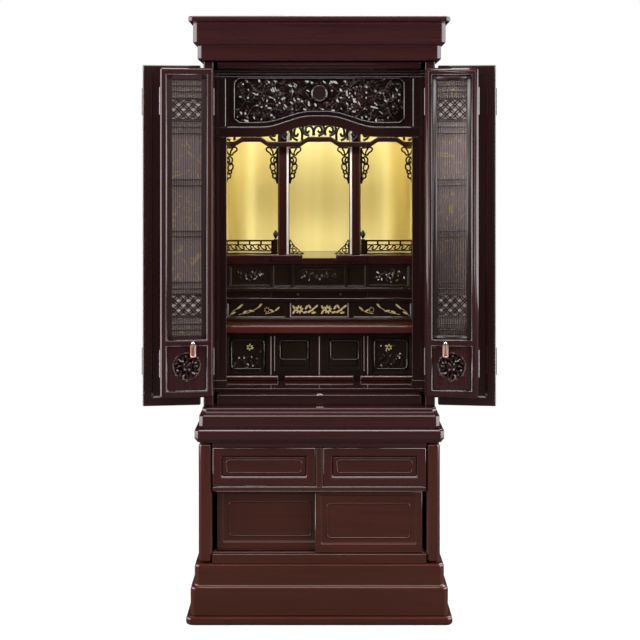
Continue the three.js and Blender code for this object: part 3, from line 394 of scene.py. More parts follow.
# Cabinet base, sill, altar floor, sides, back, ceiling and the stepped crown: the shell of the upper
# cabinet, in the same lacquer, with broad rounded mouldings.
dark_across = lacquer("dark_lacquer_across", (0.016, 0.0055, 0.0048), "X")
mirror_dark = lacquer("mirror_lacquer_across", (0.020, 0.0065, 0.0055), "X", 0.05)
ease(brown_across, cabinet_base=4, ceiling=1, crown=1.6)
ease(brown_upright, cabinet_side_left=4, cabinet_side_right=4, cabinet_back=1)
ease(dark_across, door_sill=1.2)
ease(mirror_dark, altar_floor=1)


# The transom between the jambs. Its arched lower rail and the board round the carving are plain.
# The jambs stand under its ends on square feet.
dark_upright = lacquer("dark_lacquer_upright", (0.016, 0.0055, 0.0048))
ease(dark_across, transom=2.4)
ease(dark_upright, jamb_left=4, jamb_right=4)


# Three beads along the head of the opening, under the ceiling board, and one down each end of the
# transom. They are glued on its face round the carving, where the folded lattice leaves clear them.
bead_lines = [[(x, -165.8, z) for x in (-245, 0, 245)] for z in (1256.8, 1263.6, 1270.6)]
bead_lines += [[(s * 222, -163.2, z) for z in (1140, 1195, 1252)] for s in (-1, 1)]
head_beads = strands(bead_lines, 4.0)
finish_piece(head_beads, "head_beads", bead_lacquer)


# Carved relief in the transom: two long-tailed birds among leaves, cut from one board and lacquered
# nearly black, so that each tip catches the light. A plain round disc with a raised rim is in the middle.
# The thin ground sheet behind the leaves is ink-black, darker than the leaves: painted shade in the
# depths between them.
carving_half = 200.1
carving_top = 1253.0
carving_low = 1148.5
carving_face = -156.3
disc_height = 1218


def arch_line(x):
    """Height of the underside of the arched rail."""
    part = min(1, max(0, (135 - abs(x)) / 115))
    return 1115 + 26.5 * part * part * (3 - 2 * part)


def carved_leaf():
    """A four-sided pointed leaf of unit length along X, with a crisp ridge."""
    bpy.ops.mesh.primitive_uv_sphere_add(segments=4, ring_count=5, radius=0.5)
    leaf = bpy.context.object
    leaf.rotation_euler = (0, math.radians(90), 0)
    bpy.ops.object.transform_apply()
    pick(leaf, "vertices", lambda vertex: True)
    bpy.ops.transform.resize(value=(1, 0.62, 0.62))
    pick(leaf, "vertices", lambda vertex: 0.15 < abs(vertex.co.x) < 0.49)
    bpy.ops.transform.resize(value=(1, 1.12, 1.12))
    bpy.ops.object.mode_set(mode="OBJECT")
    bpy.ops.object.shade_flat()
    return leaf


def stand_in(form, matrix):
    """A copy of a finished form, put in its place with its faces outwards."""
    copy = form.copy()
    copy.data = form.data.copy()
    copy.data.transform(matrix)
    bpy.context.collection.objects.link(copy)
    if matrix.determinant() < 0:
        hold(copy)
        bpy.ops.object.mode_set(mode="EDIT")
        bpy.ops.mesh.select_all(action="SELECT")
        bpy.ops.mesh.flip_normals()
        bpy.ops.object.mode_set(mode="OBJECT")
    return copy


def carve(form, places, slant=1.05):
    """Tilted copies of one form in one piece, each at (x, y, z, length, width, height, turn)."""
    copies = []
    for x, y, z, length, width, height, turn in places:
        tilt = slant * math.sin(3.7 * x + 1.3 * z)
        copies.append(stand_in(
            form, Matrix.Translation(Vector((x, y, z)) * mm) @ Matrix.Rotation(-turn, 4, "Y")
            @ Matrix.Rotation(tilt * 0.5, 4, "Z") @ Matrix.Rotation(tilt, 4, "X")
            @ Matrix.Diagonal((length * mm, height * mm, width * mm, 1))))
    return join_pieces(*copies)


chance = random.Random(7)
leaf = carved_leaf()
bird = [
    (0, 0, 38, 18, 13, 18, 1), (19, 11, 24, 9, 12, 42, 2), (28, 20, 13, 10, 13, 12, 2),
    (36, 20, 9, 3.6, 10, -8, 2), (27, 27, 10, 3, 9, 120, 2)]
for i in range(9):
    bird.append((-16 + 3.2 * i, 17 + 0.8 * i, 31 - 0.8 * i, 4.6, 10 + (i % 2) * 2, 124 - 9 * i, 1))
    bird.append((-11 + 2.6 * i, 9 + 0.5 * i, 17, 4.0, 13, 118 - 8 * i, 2))
for i in range(7):
    bird.append((-5 + 3.4 * i, -14 - 0.6 * i, 25, 4.6, 10 + (i % 2) * 2, -116 + 11 * i, 1))
for i in range(6):
    bird.append((-31 - 1.5 * (i % 2), 8 - 6.2 * i, 40 + 4 * (i % 3), 4.4, 9, 160 + 9 * i, 1))
    bird.append((-57 - (i % 2) * 3, 13 - 9.5 * i, 24, 4.2, 8, 158 + 12 * i, 1))
bird_x = 92
bird_z = 1203
bird_forms = []
for s in (-1, 1):
    for dx, dz, length, width, height, degrees, rise in bird:
        turn = math.radians(degrees) if s < 0 else math.pi - math.radians(degrees)
        bird_forms.append((
            s * bird_x - s * dx, carving_face - rise, bird_z + dz, length, width, height, turn))
leaf_places = []
tried = 0
while tried < 9000 and len(leaf_places) < 520:
    tried += 1
    x = chance.uniform(-carving_half + 6, carving_half - 6)
    z = chance.uniform(arch_line(x) + 38, carving_top - 5)
    if math.hypot(x, z - disc_height) < 25 or z < carving_low + 5:
        continue
    if abs(x) > carving_half - 16 and (z > carving_top - 12 or z < 1164):
        continue
    if any(math.hypot(x - other[0], z - other[2]) < 5.6 for other in leaf_places):
        continue
    swirl = math.sin(x / 17) * 2.2 + math.cos(z / 11 + x / 40) * 1.9
    length = chance.uniform(12, 23)
    leaf_places.append((
        x, carving_face + 0.5, z, length, chance.uniform(3.6, 6.2), chance.uniform(10, 16),
        swirl + chance.uniform(-0.5, 0.5)))
relief = carve(leaf, bird_forms + leaf_places)
stems = []
for s in (-1, 1):
    for start, rise, length, lift in (
            (26, -34, 60, 20), (30, 22, 60, -14), (60, -42, 80, 16), (112, 30, 70, -24),
            (120, -46, 66, 26), (150, 6, 44, -22), (128, -10, 60, 24)):
        stems.append([
            (s * (start + length * t), carving_face - 2.0, 1213 + rise + lift * math.sin(t * 4.2))
            for t in (0, 0.25, 0.5, 0.75, 1)])
stem_piece = strands(stems, 2.6)
steps = 20
arch = [carving_half * (2 * i / steps - 1) for i in range(1, steps)]
outline = [(x, arch_line(x) + 33.9) for x in arch]
corner = 6
low = 1148.9
outline = [(-carving_half, low + corner), (-carving_half + corner, low), *outline,
           (carving_half - corner, low), (carving_half, low + corner), (carving_half, carving_top - corner),
           (carving_half - corner, carving_top), (-carving_half + corner, carving_top),
           (-carving_half, carving_top - corner)]
# The ground sheet behind the leaves, ink-black as painted shade in the depths of the carving.
bpy.ops.mesh.primitive_circle_add(vertices=len(outline), radius=1, fill_type="NGON")
ground = bpy.context.object
for vertex, (x, z) in zip(ground.data.vertices, outline):
    vertex.co = Vector((x, carving_face, z)) * mm
bpy.ops.object.mode_set(mode="EDIT")
bpy.ops.mesh.select_all(action="SELECT")
bpy.ops.mesh.extrude_region_move(TRANSFORM_OT_translate={"value": (0, 2 * mm, 0)})
bpy.ops.mesh.select_all(action="SELECT")
bpy.ops.mesh.normals_make_consistent(inside=False)
bpy.ops.object.mode_set(mode="OBJECT")

disc_depth = 9.7
bpy.ops.mesh.primitive_cylinder_add(
    vertices=64, radius=19.5 * mm, depth=disc_depth * mm, rotation=(math.radians(90), 0, 0),
    location=(0, (carving_face + 0.7 - disc_depth / 2) * mm, disc_height * mm))
disc = bpy.context.object
bpy.ops.object.transform_apply()
pick(disc, "polygons", looks_forward)
bpy.ops.mesh.inset(thickness=2.4 * mm, depth=0)
bpy.ops.mesh.inset(thickness=0.7 * mm, depth=-2.2 * mm)
bpy.ops.object.mode_set(mode="OBJECT")
round_edges(disc, 0.9, 30, 3)
carving_black = lacquer("carving_lacquer", (0.026, 0.0090, 0.0080), "X", 0.12, 0.7, 1.85)
rail_line = [(x, -164.9, arch_line(x) + 22.3) for x in range(-216, 217, 24)]
recess_line = [(-189, 1253.6), (0, 1253.6), (189, 1253.6), (200.7, 1243), (200.7, 1200), (200.7, 1159),
               (189, 1148.6), (150, 1148.6)]
recess_line += [(x, arch_line(x) + 33.6) for x in range(125, -126, -25)]
recess_line += [(-150, 1148.6), (-189, 1148.6), (-200.7, 1159), (-200.7, 1200), (-200.7, 1243)]
recess_piece = strands([[(x, -165, z) for x, z in recess_line]], 4.0, (0,), handles="VECTOR")
finish_piece(join_pieces(strands([rail_line], 5.8), recess_piece), "transom_beads", bead_lacquer)
relief = join_pieces(relief, stem_piece)
finish_piece(disc, "transom_disc", bead_lacquer, node="transom_carving")
finish_piece(relief, "transom_relief", carving_black, node="transom_carving")
# Ink-black lacquer: painted shade on the carving's ground; the fret and brackets are black of their own.
ink_lacquer_and_painted_shade = lacquer("ink_lacquer_and_painted_shade", (0.004, 0.0022, 0.0020), "X", 0.2, ior=1.3)
finish_piece(ground, "transom_relief_painted_shade_ground", ink_lacquer_and_painted_shade, node="transom_carving")


# Gilt lining behind the altar: a thin sheet covered with gold paper, bent round two hollow corners.
# The paper is very finely crumpled, and its tone drifts from side to side in soft upright bands of
# lighter and darker gold: painted reflections.
lining_half = 234.5
lining_radius = 88
lining_low = 818.4
lining_high = 1225
lining_front = -133.5
turn_x = lining_half - lining_radius
turn_y = 227.2 - lining_radius
bpy.ops.mesh.primitive_plane_add(size=1)
lining = bpy.context.object
flat_end = [(y, z) for z in (lining_low, lining_high) for y in (lining_front, turn_y)]
for vertex, (y, z) in zip(lining.data.vertices, flat_end):
    vertex.co = Vector((lining_half, y, z)) * mm


def near(value, goal):
    return abs(value - goal * mm) < 1e-5


pick(lining, "vertices", lambda vertex: near(vertex.co.y, turn_y))
bpy.ops.mesh.spin(
    steps=24, angle=math.radians(-90), center=(turn_x * mm, turn_y * mm, 0), axis=(0, 0, 1))
pick(lining, "vertices", lambda vertex: near(vertex.co.x, turn_x) and vertex.co.y > 0.2)
bpy.ops.mesh.extrude_region_move(TRANSFORM_OT_translate={"value": (-2 * turn_x * mm, 0, 0)})
pick(lining, "vertices", lambda vertex: near(vertex.co.x, -turn_x) and vertex.co.y > 0.2)
bpy.ops.mesh.spin(
    steps=24, angle=math.radians(-90), center=(-turn_x * mm, turn_y * mm, 0), axis=(0, 0, 1))
pick(lining, "vertices", lambda vertex: near(vertex.co.y, turn_y) and vertex.co.x < -0.2)
bpy.ops.mesh.extrude_region_move(TRANSFORM_OT_translate={"value": (0, (lining_front - turn_y) * mm, 0)})
bpy.ops.mesh.select_all(action="SELECT")
bpy.ops.mesh.remove_doubles(threshold=0.00001)
bpy.ops.mesh.normals_make_consistent(inside=False)
bpy.ops.object.mode_set(mode="OBJECT")
sheet = lining.modifiers.new("sheet", "SOLIDIFY")
sheet.thickness = 1.4 * mm
sheet.offset = 0
bpy.ops.object.modifier_apply(modifier="sheet")
bpy.ops.object.shade_smooth_by_angle(angle=math.radians(35))
gold_paper, tree, shader, place = start_finish("gold_paper")
crumple = grow(tree, "TexNoise", {"Vector": place, "Scale": 170, "Detail": 5})
# Soft upright bands of lighter and darker gold in the colour: painted reflections.
bands = grow(tree, "Mapping", {"Vector": place, "Scale": (14, 8, 0.6)})
painted_reflection_patches = grow(tree, "TexNoise", {"Vector": bands.outputs["Vector"], "Scale": 1})
gold = tones(tree, painted_reflection_patches.outputs["Fac"], (0.3, (0.76, 0.59, 0.18)), (0.7, (0.90, 0.77, 0.30)))
wrinkles = grow(tree, "Bump", {"Height": crumple.outputs["Fac"], "Strength": 0.35, "Distance": 0.0006})
plug(tree, shader, {
    "Base Color": gold, "Normal": wrinkles.outputs["Normal"], "Metallic": 0.35, "Roughness": 0.42})
finish_piece(lining, "gold_lining", gold_paper, node="gilt_lining")


# The stand of the altar: platform, dado, small drawer, inlaid stage, shelves, lower cupboards and the
# low rail in front of them. All are lacquered dark; the lower shelf is redder and very smooth.
mirror_red = lacquer("mirror_red_lacquer", (0.075, 0.016, 0.011), "X", 0.05)
olive_across = lacquer("olive_lacquer_across", (0.019, 0.0098, 0.0062), "X")
ease(brown_across, platform=1.8)
ease(olive_across, dado=1.2, inlay_case=1.2, cupboard=1.5)
ease(dark_across, drawer_case=1.2, altar_drawer=0.8)
ease(mirror_red, lower_shelf=1.5)
ease(red_across, low_rail_left=2, low_rail_middle=2, low_rail_right=2)


# Small trim on the stand: rounded beads round the doors and corner panels of the cupboards, slim pale
# uprights between the doors, between the inlaid fields and beside the oblong of the dado, and a pale
# bead along each low rail. The pale lacquer of these uprights and rail beads is a painted highlight,
# in place of the light lines on rounded dark uprights and rails.
# Pale lacquer: painted highlight on the stand's uprights and rail beads.
painted_highlight_trim = lacquer("painted_highlight_trim_lacquer", (0.42, 0.31, 0.30), "Z", 0.12, 0.3)
cupboard_front = -36.3
loops = []
for low, high in ((-96.6, -27.8), (27.8, 96.6)):
    loops.append(bead_loop(low, high, 571, 617, cupboard_front, 6))
for s in (-1, 1):
    low, high = sorted((s * 136, s * 216))
    loops.append(bead_loop(low, high, 548, 619, cupboard_front, 9))
finish_piece(strands(loops, 3.0, range(len(loops)), 0.8, "VECTOR"), "cupboard_beads", bead_lacquer)
uprights = []
for x, y, low, high in (
        (-119, -36, 533, 628), (-110.5, -36, 542, 628), (-13.4, -36, 542, 628), (13.4, -36, 542, 628),
        (110.5, -36, 542, 628), (119, -36, 533, 628), (0, -36, 533, 628), (-71.5, -6, 671, 706),
        (71.5, -6, 671, 706), (-68.5, 0, 752, 795), (68.5, 0, 752, 795)):
    uprights.append(cut_block((x - 1.3, x + 1.3), (y - 1.5, y + 0.5), (low, high)))
rail_tops = []
for part in ("left", "middle", "right"):
    low, high = node_limits(f"low_rail_{part}")
    spots = (low[0] + 2.4, (low[0] + high[0]) / 2, high[0] - 2.4)
    rail_tops.append([(x, low[1] + 0.6, high[2] - 1.6) for x in spots])
trim = join_pieces(*uprights)
round_edges(trim, 0.9, 30, 2)
trim = join_pieces(trim, strands(rail_tops, 3.4))
finish_piece(trim, "stand_painted_highlight_trim", painted_highlight_trim)


# Carving on the stand: leafy sprays in the side panels of the dado and on its oblong, and plants over
# rocks in the corner panels of the cupboards.
sprays = []
for centre, z, y, half, rise in (
        (-176, 773, 5, 36, 15), (176, 773, 5, 36, 15), (0, 773, 1, 44, 10)):
    for i in range(34 if half < 40 else 26):
        t = chance.uniform(-1, 1)
        u = chance.uniform(-1, 1)
        sprays.append((
            centre + t * half, y - 0.6, z + u * rise * (1 - 0.45 * abs(t)), chance.uniform(9, 15),
            chance.uniform(3.5, 5.5), chance.uniform(5, 9), t * 2.2 + u + chance.uniform(-0.6, 0.6)))
for s in (-1, 1):
    for i in range(58):
        t = chance.uniform(-1, 1)
        u = chance.uniform(0, 1)
        if u > 0.35 and (t * s > 0.2 - 0.8 * (1 - u) and u > 0.62):
            continue
        sprays.append((
            s * 177 + t * 34, -32.5, 545 + u * 62, chance.uniform(9, 16), chance.uniform(3.5, 6.5),
            chance.uniform(5, 8), t * 1.6 + u * 3 + chance.uniform(-0.7, 0.7)))
spray_piece = carve(leaf, sprays)
finish_piece(spray_piece, "stand_carving", carving_black)


# Inlay of gold foil in the three fields of the stage: branches with slender leaves at the sides, and in
# the middle a bough with two eight-petalled flowers. It lies flush in the lacquer. A smaller flower of
# foil stands in each corner panel of the cupboards.
gold_foil, tree, shader, place = start_finish("gold_foil")
brushed = grow(tree, "TexNoise", {"Vector": place, "Scale": 240})
gold = tones(tree, brushed.outputs["Fac"], (0, (0.80, 0.60, 0.20)), (1, (1.0, 0.86, 0.42)))
plug(tree, shader, {"Base Color": gold, "Metallic": 0.4, "Roughness": 0.4})
bpy.ops.mesh.primitive_circle_add(
    vertices=10, radius=0.5, fill_type="NGON", rotation=(math.radians(90), 0, 0))
petal = bpy.context.object
bpy.ops.object.transform_apply()
bpy.ops.object.mode_set(mode="EDIT")
bpy.ops.mesh.select_all(action="SELECT")
bpy.ops.mesh.extrude_region_move(TRANSFORM_OT_translate={"value": (0, -1, 0)})
pick(petal, "vertices", lambda vertex: 0.3 < abs(vertex.co.x) < 0.45)
bpy.ops.transform.resize(value=(1, 1, 0.7))
bpy.ops.mesh.select_all(action="SELECT")
bpy.ops.mesh.normals_make_consistent(inside=False)
bpy.ops.object.mode_set(mode="OBJECT")
inlay_y = -3.95
panel_y = -38.2
stem_y = -37
foil = []
branches = []


def lay_flower(at, petals, radius, size, shift=0.0):
    """Petals round a middle; size is the length, width and height of each."""
    for k in range(petals):
        turn = k * math.tau / petals + shift
        foil.append((at[0] + radius * math.cos(turn), at[1], at[2] + radius * math.sin(turn), *size, turn))


for s in (-1, 1):
    for x, z, length, degrees in (
            (197, 697, 20, 40), (169, 686.5, 15, -8), (146, 701, 17, 52), (104, 691.5, 15, 42),
            (118, 687, 12, -30), (184, 684, 13, 20), (214, 681, 14, 25)):
        turn = math.radians(degrees if s < 0 else 180 - degrees)
        foil.append((s * x, inlay_y, z, length, 4.6, 0.3, turn))
    for run in (((222, 675), (212, 688), (200, 694)), ((200, 678), (172, 684), (150, 696)),
                ((134, 680), (116, 684), (104, 692))):
        branches.append([(s * x, inlay_y, z) for x, z in run])
    lay_flower((s * 130, inlay_y, 689), 7, 5.6, (3, 2.2, 0.3))
for x in (-50, 21):
    lay_flower((x, inlay_y, 690), 8, 6.8, (8.4, 4.6, 0.3), 0.2)
    for dx, dz, degrees in (
            (-13, 5, 120), (-13, -6, 60), (15, -7, 15), (18, 5, 60), (26, 7, 125), (26, -5, 40),
            (34, 0, 50), (36, -8, 10), (42, 7, 40)):
        foil.append((x + dx, inlay_y, 690 + dz, 12, 5.2, 0.3, math.radians(degrees)))
    branches.append([(x + 12, inlay_y, 683), (x + 24, inlay_y, 686), (x + 40, inlay_y, 696)])
for s in (-1, 1):
    lay_flower((s * 171, panel_y, 601), 6, 5.4, (6, 3.8, 1), 0.5)
    for run in (((171, 594), (164, 583), (150, 563)), ((170, 594), (180, 582), (193, 566))):
        branches.append([(s * x, stem_y, z) for x, z in run])
foil_piece = join_pieces(carve(petal, foil, 0), strands(branches, 1.2, flat=0.5))
finish_piece(foil_piece, "gold_inlay", gold_foil)


# Pillars and the valance that runs in front of them in three flattened arches. A thin ivory-coloured
# strip is let into the inner edge of each pillar: a painted highlight, in place of the light line
# along that edge.
ease(brown_upright, pillar_left=3, pillar_right=3)
ease(dark_across, valance=2.5)
# Ivory lacquer: painted highlight along the pillar's inner edge.
painted_highlight_edge = lacquer("pillar_edge_painted_highlight", (0.80, 0.76, 0.72), "Z", 0.3)
for side, s in sides:
    strip = cut_block((s * 76.6, s * 81.4), (4.6, 6), (826, 1165))
    round_edges(strip, 0.4)
    finish_piece(strip, f"pillar_highlight_strip_{side}", painted_highlight_edge)


# Fretwork over the valance: one strip of thin scrolls with a leaf in each turn, sawn from a board.
fret_y = -1.5
fret_top = 1152
fret_paths = []
for i in range(-8, 9):
    x = i * 28
    away = min(abs(x), abs(abs(x) - 169))
    base = 1122 if away < 42 else 1110
    s = -1 if x < 0 else 1
    rise = fret_top - base
    for scroll in (
            ((-13, 0), (-12, 0.55), (-2, 0.8), (6, 0.55), (2, 0.25), (-4, 0.42)),
            ((-3, 0), (7, 0.12), (13, 0.5), (9, 0.85), (2, 1))):
        fret_paths.append([(x + s * dx, fret_y, base + rise * share) for dx, share in scroll])
fret_paths.append([(x, fret_y, fret_top + 2.5) for x in (-234, 0, 234)])
fret = strands(fret_paths, 7.2, flat=0.55)
finish_piece(fret, "fret_scrolls", ink_lacquer_and_painted_shade, node="fretwork")


# Scroll brackets hung from the valance beside the pillars and at the walls: a pointed loop, then
# three rings that grow smaller, joined by short curls. All six are sawn from one pattern.
def ring(u, v, radius_u, radius_v, lean=0.0):
    """Points round an oval, pushed over to one side by its lean."""
    turns = [k * math.tau / 6 for k in range(6)]
    return [(u + radius_u * math.cos(t) + lean * math.sin(t), v + radius_v * math.sin(t)) for t in turns]


bracket_pattern = (
    ([(1.2, -1.5), (14, -1.6), (27, -1.5), (28, -7), (20, -14), (14, -20), (12.5, -12), (18, -3)], False),
    ([(1.2, -1.5), (1.2, -30), (1.2, -60), (1.2, -91)], False),
    ([(12, -21), (5, -14), (2, -6)], False),
    (ring(10, -32, 7.2, 8.2), True),
    ([(4, -24), (9, -30), (9, -37), (5, -35)], False),
    (ring(12.5, -50, 6, 8.5, 1.5), True),
    ([(6, -41), (13, -43), (17, -38)], False),
    ([(9, -58), (6, -64), (9, -66)], False),
    (ring(7.5, -71.5, 5.2, 6), True),
    ([(14, -58), (14, -64), (9, -66)], False),
    ([(6, -78), (3, -84), (1.2, -91)], False),
)
bracket_y = 13
bracket_top = 1093.2
bracket_places = []
for side, s in sides:
    bracket_places += [
        (f"{side}_wall", s * 234.1, -s), (f"{side}_outer", s * 103.9, s), (f"{side}_inner", s * 74.7, -s)]
for where, x, s in bracket_places:
    paths = [[(x + s * u, bracket_y, bracket_top + v) for u, v in path] for path, _ in bracket_pattern]
    closed = [number for number, (_, joined) in enumerate(bracket_pattern) if joined]
    bracket = strands(paths, 4.6, closed, 0.8)
    finish_piece(bracket, f"scroll_bracket_{where}", ink_lacquer_and_painted_shade, node=f"bracket_{where}")


# Balustrades in the side bays: a top rail, a row of slots, a band of scrolls and a low gap between
# two rails. Each ends beside the pillar in a square post with a bud-shaped finial.
def turned_ball(at, radius, stretch, detail, *waists):
    """A ball turned on a lathe and stretched, then narrowed at each waist."""
    bpy.ops.mesh.primitive_uv_sphere_add(
        segments=detail[0], ring_count=detail[1], radius=radius * mm, location=Vector(at) * mm)
    ball = bpy.context.object
    ball.scale = stretch
    bpy.ops.object.transform_apply()
    for wanted, pull in waists:
        pick(ball, "vertices", wanted)
        bpy.ops.transform.resize(value=pull, center_override=Vector(at) * mm)
    bpy.ops.object.mode_set(mode="OBJECT")
    bpy.ops.object.shade_smooth()
    return ball


rail_y = (6, 11)
curl_y = 8.5
inner = 114
outer = 234.2
for side, s in sides:
    parts = []
    for z0, z1 in ((825.6, 829.6), (834.4, 837.4), (848.6, 851.4), (858, 862.2)):
        parts.append(cut_block((s * inner, s * outer), rail_y, (z0, z1)))
    for k in range(5):
        x = inner + 3 + k * 28.4
        parts.append(cut_block((s * (x - 2.2), s * (x + 2.2)), rail_y, (849, 861)))
    for x in (inner + 3, outer - 3):
        parts.append(cut_block((s * (x - 3), s * (x + 3)), rail_y, (826, 861)))
    parts.append(cut_block((s * 103.9, s * 113.9), (3.5, 13.5), (825.6, 864.3)))
    rails = join_pieces(*parts)
    round_edges(rails, 0.6)
    curls = []
    for k in range(6):
        x = inner + 14 + k * 18.5
        curls.append([(s * (x + dx), curl_y, z) for dx, z in (
            (-9, 838), (-3, 842), (2, 848), (7, 844), (3, 841), (9, 838))])
    bud = turned_ball(
        (s * 108.9, curl_y, 875.5), 6.4, (1, 1, 1.72), (20, 14),
        (lambda vertex: vertex.co.z < 0.8725, (0.72, 0.72, 1)),
        (lambda vertex: vertex.co.z > 0.881, (0.7, 0.7, 1)))
    finish_piece(join_pieces(rails, strands(curls, 3.6), bud), f"balustrade_work_{side}", dark_across,
                 node=f"balustrade_{side}")


# Triangular brackets at the inner feet of the pillars: a foot, an upright and a curved brace with
# small scrolls between them.
for side, s in sides:
    foot = [(0, 1.2), (16, 1.2), (36, 1.2)]
    upright = [(1.2, 0), (1.2, 18), (1.2, 36)]
    brace = [(35.5, 1.5), (28, 6), (20, 14), (12, 21), (6, 30), (1.5, 36.5)]
    curl_low = [(4, 2), (12, 5), (17, 11), (11, 14), (7, 9), (12, 6)]
    curl_high = [(2, 14), (8, 16), (9, 23), (4, 24), (3, 18)]
    leaf_line = [(16, 2), (22, 5), (26, 7)]
    paths = [
        [(s * (74.7 - u), 15, 825.6 + v) for u, v in path]
        for path in (foot, upright, brace, curl_low, curl_high, leaf_line)]
    bracket = strands(paths, 3.1, flat=1.3)
    finish_piece(bracket, f"foot_bracket_{side}", dark_across, node=f"corner_bracket_{side}")


# Outer doors: four boards with a shallow sunk panel on each face, folded back in pairs. A thin bead
# runs down the far edge of each pair, where the two leaves fold.
door_brown = lacquer("door_lacquer", (0.019, 0.0065, 0.0066))
ease(door_brown, outer_door_left=4.5, outer_door_right=4.5, outer_end_door_left=4.5,
     outer_end_door_right=4.5)
for side, s in sides:
    edge_bead = strands([[(s * 406.3, -224.1, z) for z in (494, 886, 1278)]], 3.8)
    finish_piece(edge_bead, f"outer_edge_bead_{side}", bead_lacquer, f"outer_{side}")


# Lattice doors. Each leaf is a slim frame with a bevelled inner edge. Thin bars are let into it over a
# sheet of gauze, and the small panel below the middle rail is pierced by a round carved flower.
leaf_width = 121
stile = 16
leaf_low = 516
leaf_high = 1271.5
opening_low = 649
opening_high = 1254.5
panel_low = 533
panel_high = 633
leaf_depth = 16
board_span = (stile - 1, leaf_width - stile + 1)


def height_of(row):
    """Height of a row of the lattice. Rows are counted downwards."""
    return 1048.9 - (row - 165) * 2.276


def saw_out(board, cutter):
    """Cuts the shape of the cutter out of a board."""
    hold(board)
    opening = board.modifiers.new("opening", "BOOLEAN")
    opening.object = cutter
    opening.operation = "DIFFERENCE"
    bpy.ops.object.modifier_apply(modifier="opening")
    bpy.data.objects.remove(cutter)


leaf_frame = cut_block((0, leaf_width), (0, leaf_depth), (leaf_low, leaf_high))
for low, high in ((panel_low, panel_high), (opening_low, opening_high)):
    saw_out(leaf_frame, cut_block((stile, leaf_width - stile), (-5, leaf_depth + 5), (low, high)))
round_edges(leaf_frame, 4.2, 30, 3, 0.3)
bars = []
field_left = 27
field_right = 94
field_top = height_of(79)
field_bottom = height_of(336.7)
bar_rows = (79, 85, 91, 97.5, 99, 119, 120.5, 126.5, 133, 179.5, 185.5, 231.5, 237, 283, 289.5, 294.5,
            296, 316.5, 318, 325, 331, 336.7)
for row in bar_rows:
    z = height_of(row)
    bars.append(cut_block((field_left, field_right), (5.4, 9.2), (z - 0.8, z + 0.8)))
for number in range(14):
    u = field_left + number * (field_right - field_left) / 13
    for top_row, bottom_row in ((79, 99), (119, 296), (316.5, 336.7)):
        ends = (height_of(bottom_row), height_of(top_row))
        bars.append(cut_block((u - 0.75, u + 0.75), (5.8, 8.8), ends))
for z0, z1 in ((field_top, opening_high), (opening_low, field_bottom)):
    bars.append(cut_block(board_span, (4, 11), (z0, z1)))
for span in ((board_span[0], field_left), (field_right, board_span[1])):
    bars.append(cut_block(span, (4, 11), (opening_low, opening_high)))
lattice = join_pieces(*bars)
round_edges(lattice, 0.3, 30, 1)

# Two blocks of diagonal crossings between the rows of the lattice, with every second gap wider.
block_rows = ((99, 119), (296, 316.5))
crossings = []
for top_row, bottom_row in block_rows:
    slants = []
    middle = (height_of(top_row) + height_of(bottom_row)) / 2
    for number in range(-10, 11):
        for lean in (-45, 45):
            slant = cut_block((59.5, 61.5), (5.6, 8.9), (middle - 60, middle + 60))
            shift = (number // 2) * 0.0223 + (number % 2) * 0.0075
            slant.data.transform(
                Matrix.Translation((0.0605 + shift, 0, middle * mm))
                @ Matrix.Rotation(math.radians(lean), 4, "Y")
                @ Matrix.Translation((-0.0605, 0, -middle * mm)))
            slants.append(slant)
    crossing = join_pieces(*slants)
    bpy.ops.object.mode_set(mode="EDIT")
    for at, normal in (
            ((field_left, 0, 0), (-1, 0, 0)), ((field_right, 0, 0), (1, 0, 0)),
            ((0, 0, height_of(top_row)), (0, 0, 1)), ((0, 0, height_of(bottom_row)), (0, 0, -1))):
        bpy.ops.mesh.select_all(action="SELECT")
        bpy.ops.mesh.bisect(
            plane_co=Vector(at) * mm, plane_no=normal, clear_outer=True, use_fill=True)
    bpy.ops.object.mode_set(mode="OBJECT")
    crossings.append(crossing)

# Round openwork flower in the lower panel of the leaf: a scalloped ring, a five-petalled flower and
# leaves that reach from it to the ring.
flower_u = 60.5
flower_z = 586.6
lower_board = cut_block(board_span, (5, 11), (panel_low - 1, panel_high + 1))
bpy.ops.mesh.primitive_cylinder_add(
    vertices=48, radius=30 * mm, depth=0.04, location=(flower_u * mm, 0.008, flower_z * mm),
    rotation=(math.radians(90), 0, 0))
saw_out(lower_board, bpy.context.object)
round_edges(lower_board, 0.5)
bpy.ops.mesh.primitive_torus_add(
    major_segments=48, minor_segments=8, major_radius=31 * mm, minor_radius=2.2 * mm,
    location=(flower_u * mm, 0.006, flower_z * mm), rotation=(math.radians(90), 0, 0))
ring_piece = bpy.context.object
bpy.ops.object.transform_apply()
bpy.ops.object.shade_smooth()
flower_places = [(flower_u, 5.5, flower_z, 7, 7, 9, 0)]


def around(count, radius, length, width, height, turn, shift=0.0, depth=6.5):
    for k in range(count):
        angle = (k + shift) * math.tau / count
        flower_places.append((
            flower_u + radius * math.cos(angle), depth, flower_z + radius * math.sin(angle),
            length, width, height, angle + turn))


around(20, 32, 8, 5, 8, math.pi / 2, 0, 5.8)
around(5, 8, 12, 9, 9, 0.0, 0.25)
around(5, 8, 10, 5, 10, 0.0, 0.75)
around(8, 20, 19, 7.5, 9, 0.5)
around(8, 22, 15, 6, 8, -0.7, 0.5)
around(16, 26, 9, 4.5, 7, 1.1, 0.25)
flower = carve(leaf, flower_places)
door_leaf = join_pieces(leaf_frame, lower_board, ring_piece, flower)
door_lattice = join_pieces(lattice, *crossings)

loops = []
for low, high in ((panel_low, panel_high), (opening_low, opening_high)):
    loops.append(square_loop(stile - bead_from_edge, leaf_width - stile + bead_from_edge,
                             low - bead_from_edge, high + bead_from_edge, 2.6))
edge_beads = strands(loops, 3.4, (0, 1), handles="VECTOR")

gauze_sheet = cut_block(
    (field_left - 1, field_right + 1), (9.4, 9.8), (field_bottom - 1, field_top + 1))
round_edges(gauze_sheet, 0.1, 30, 1)

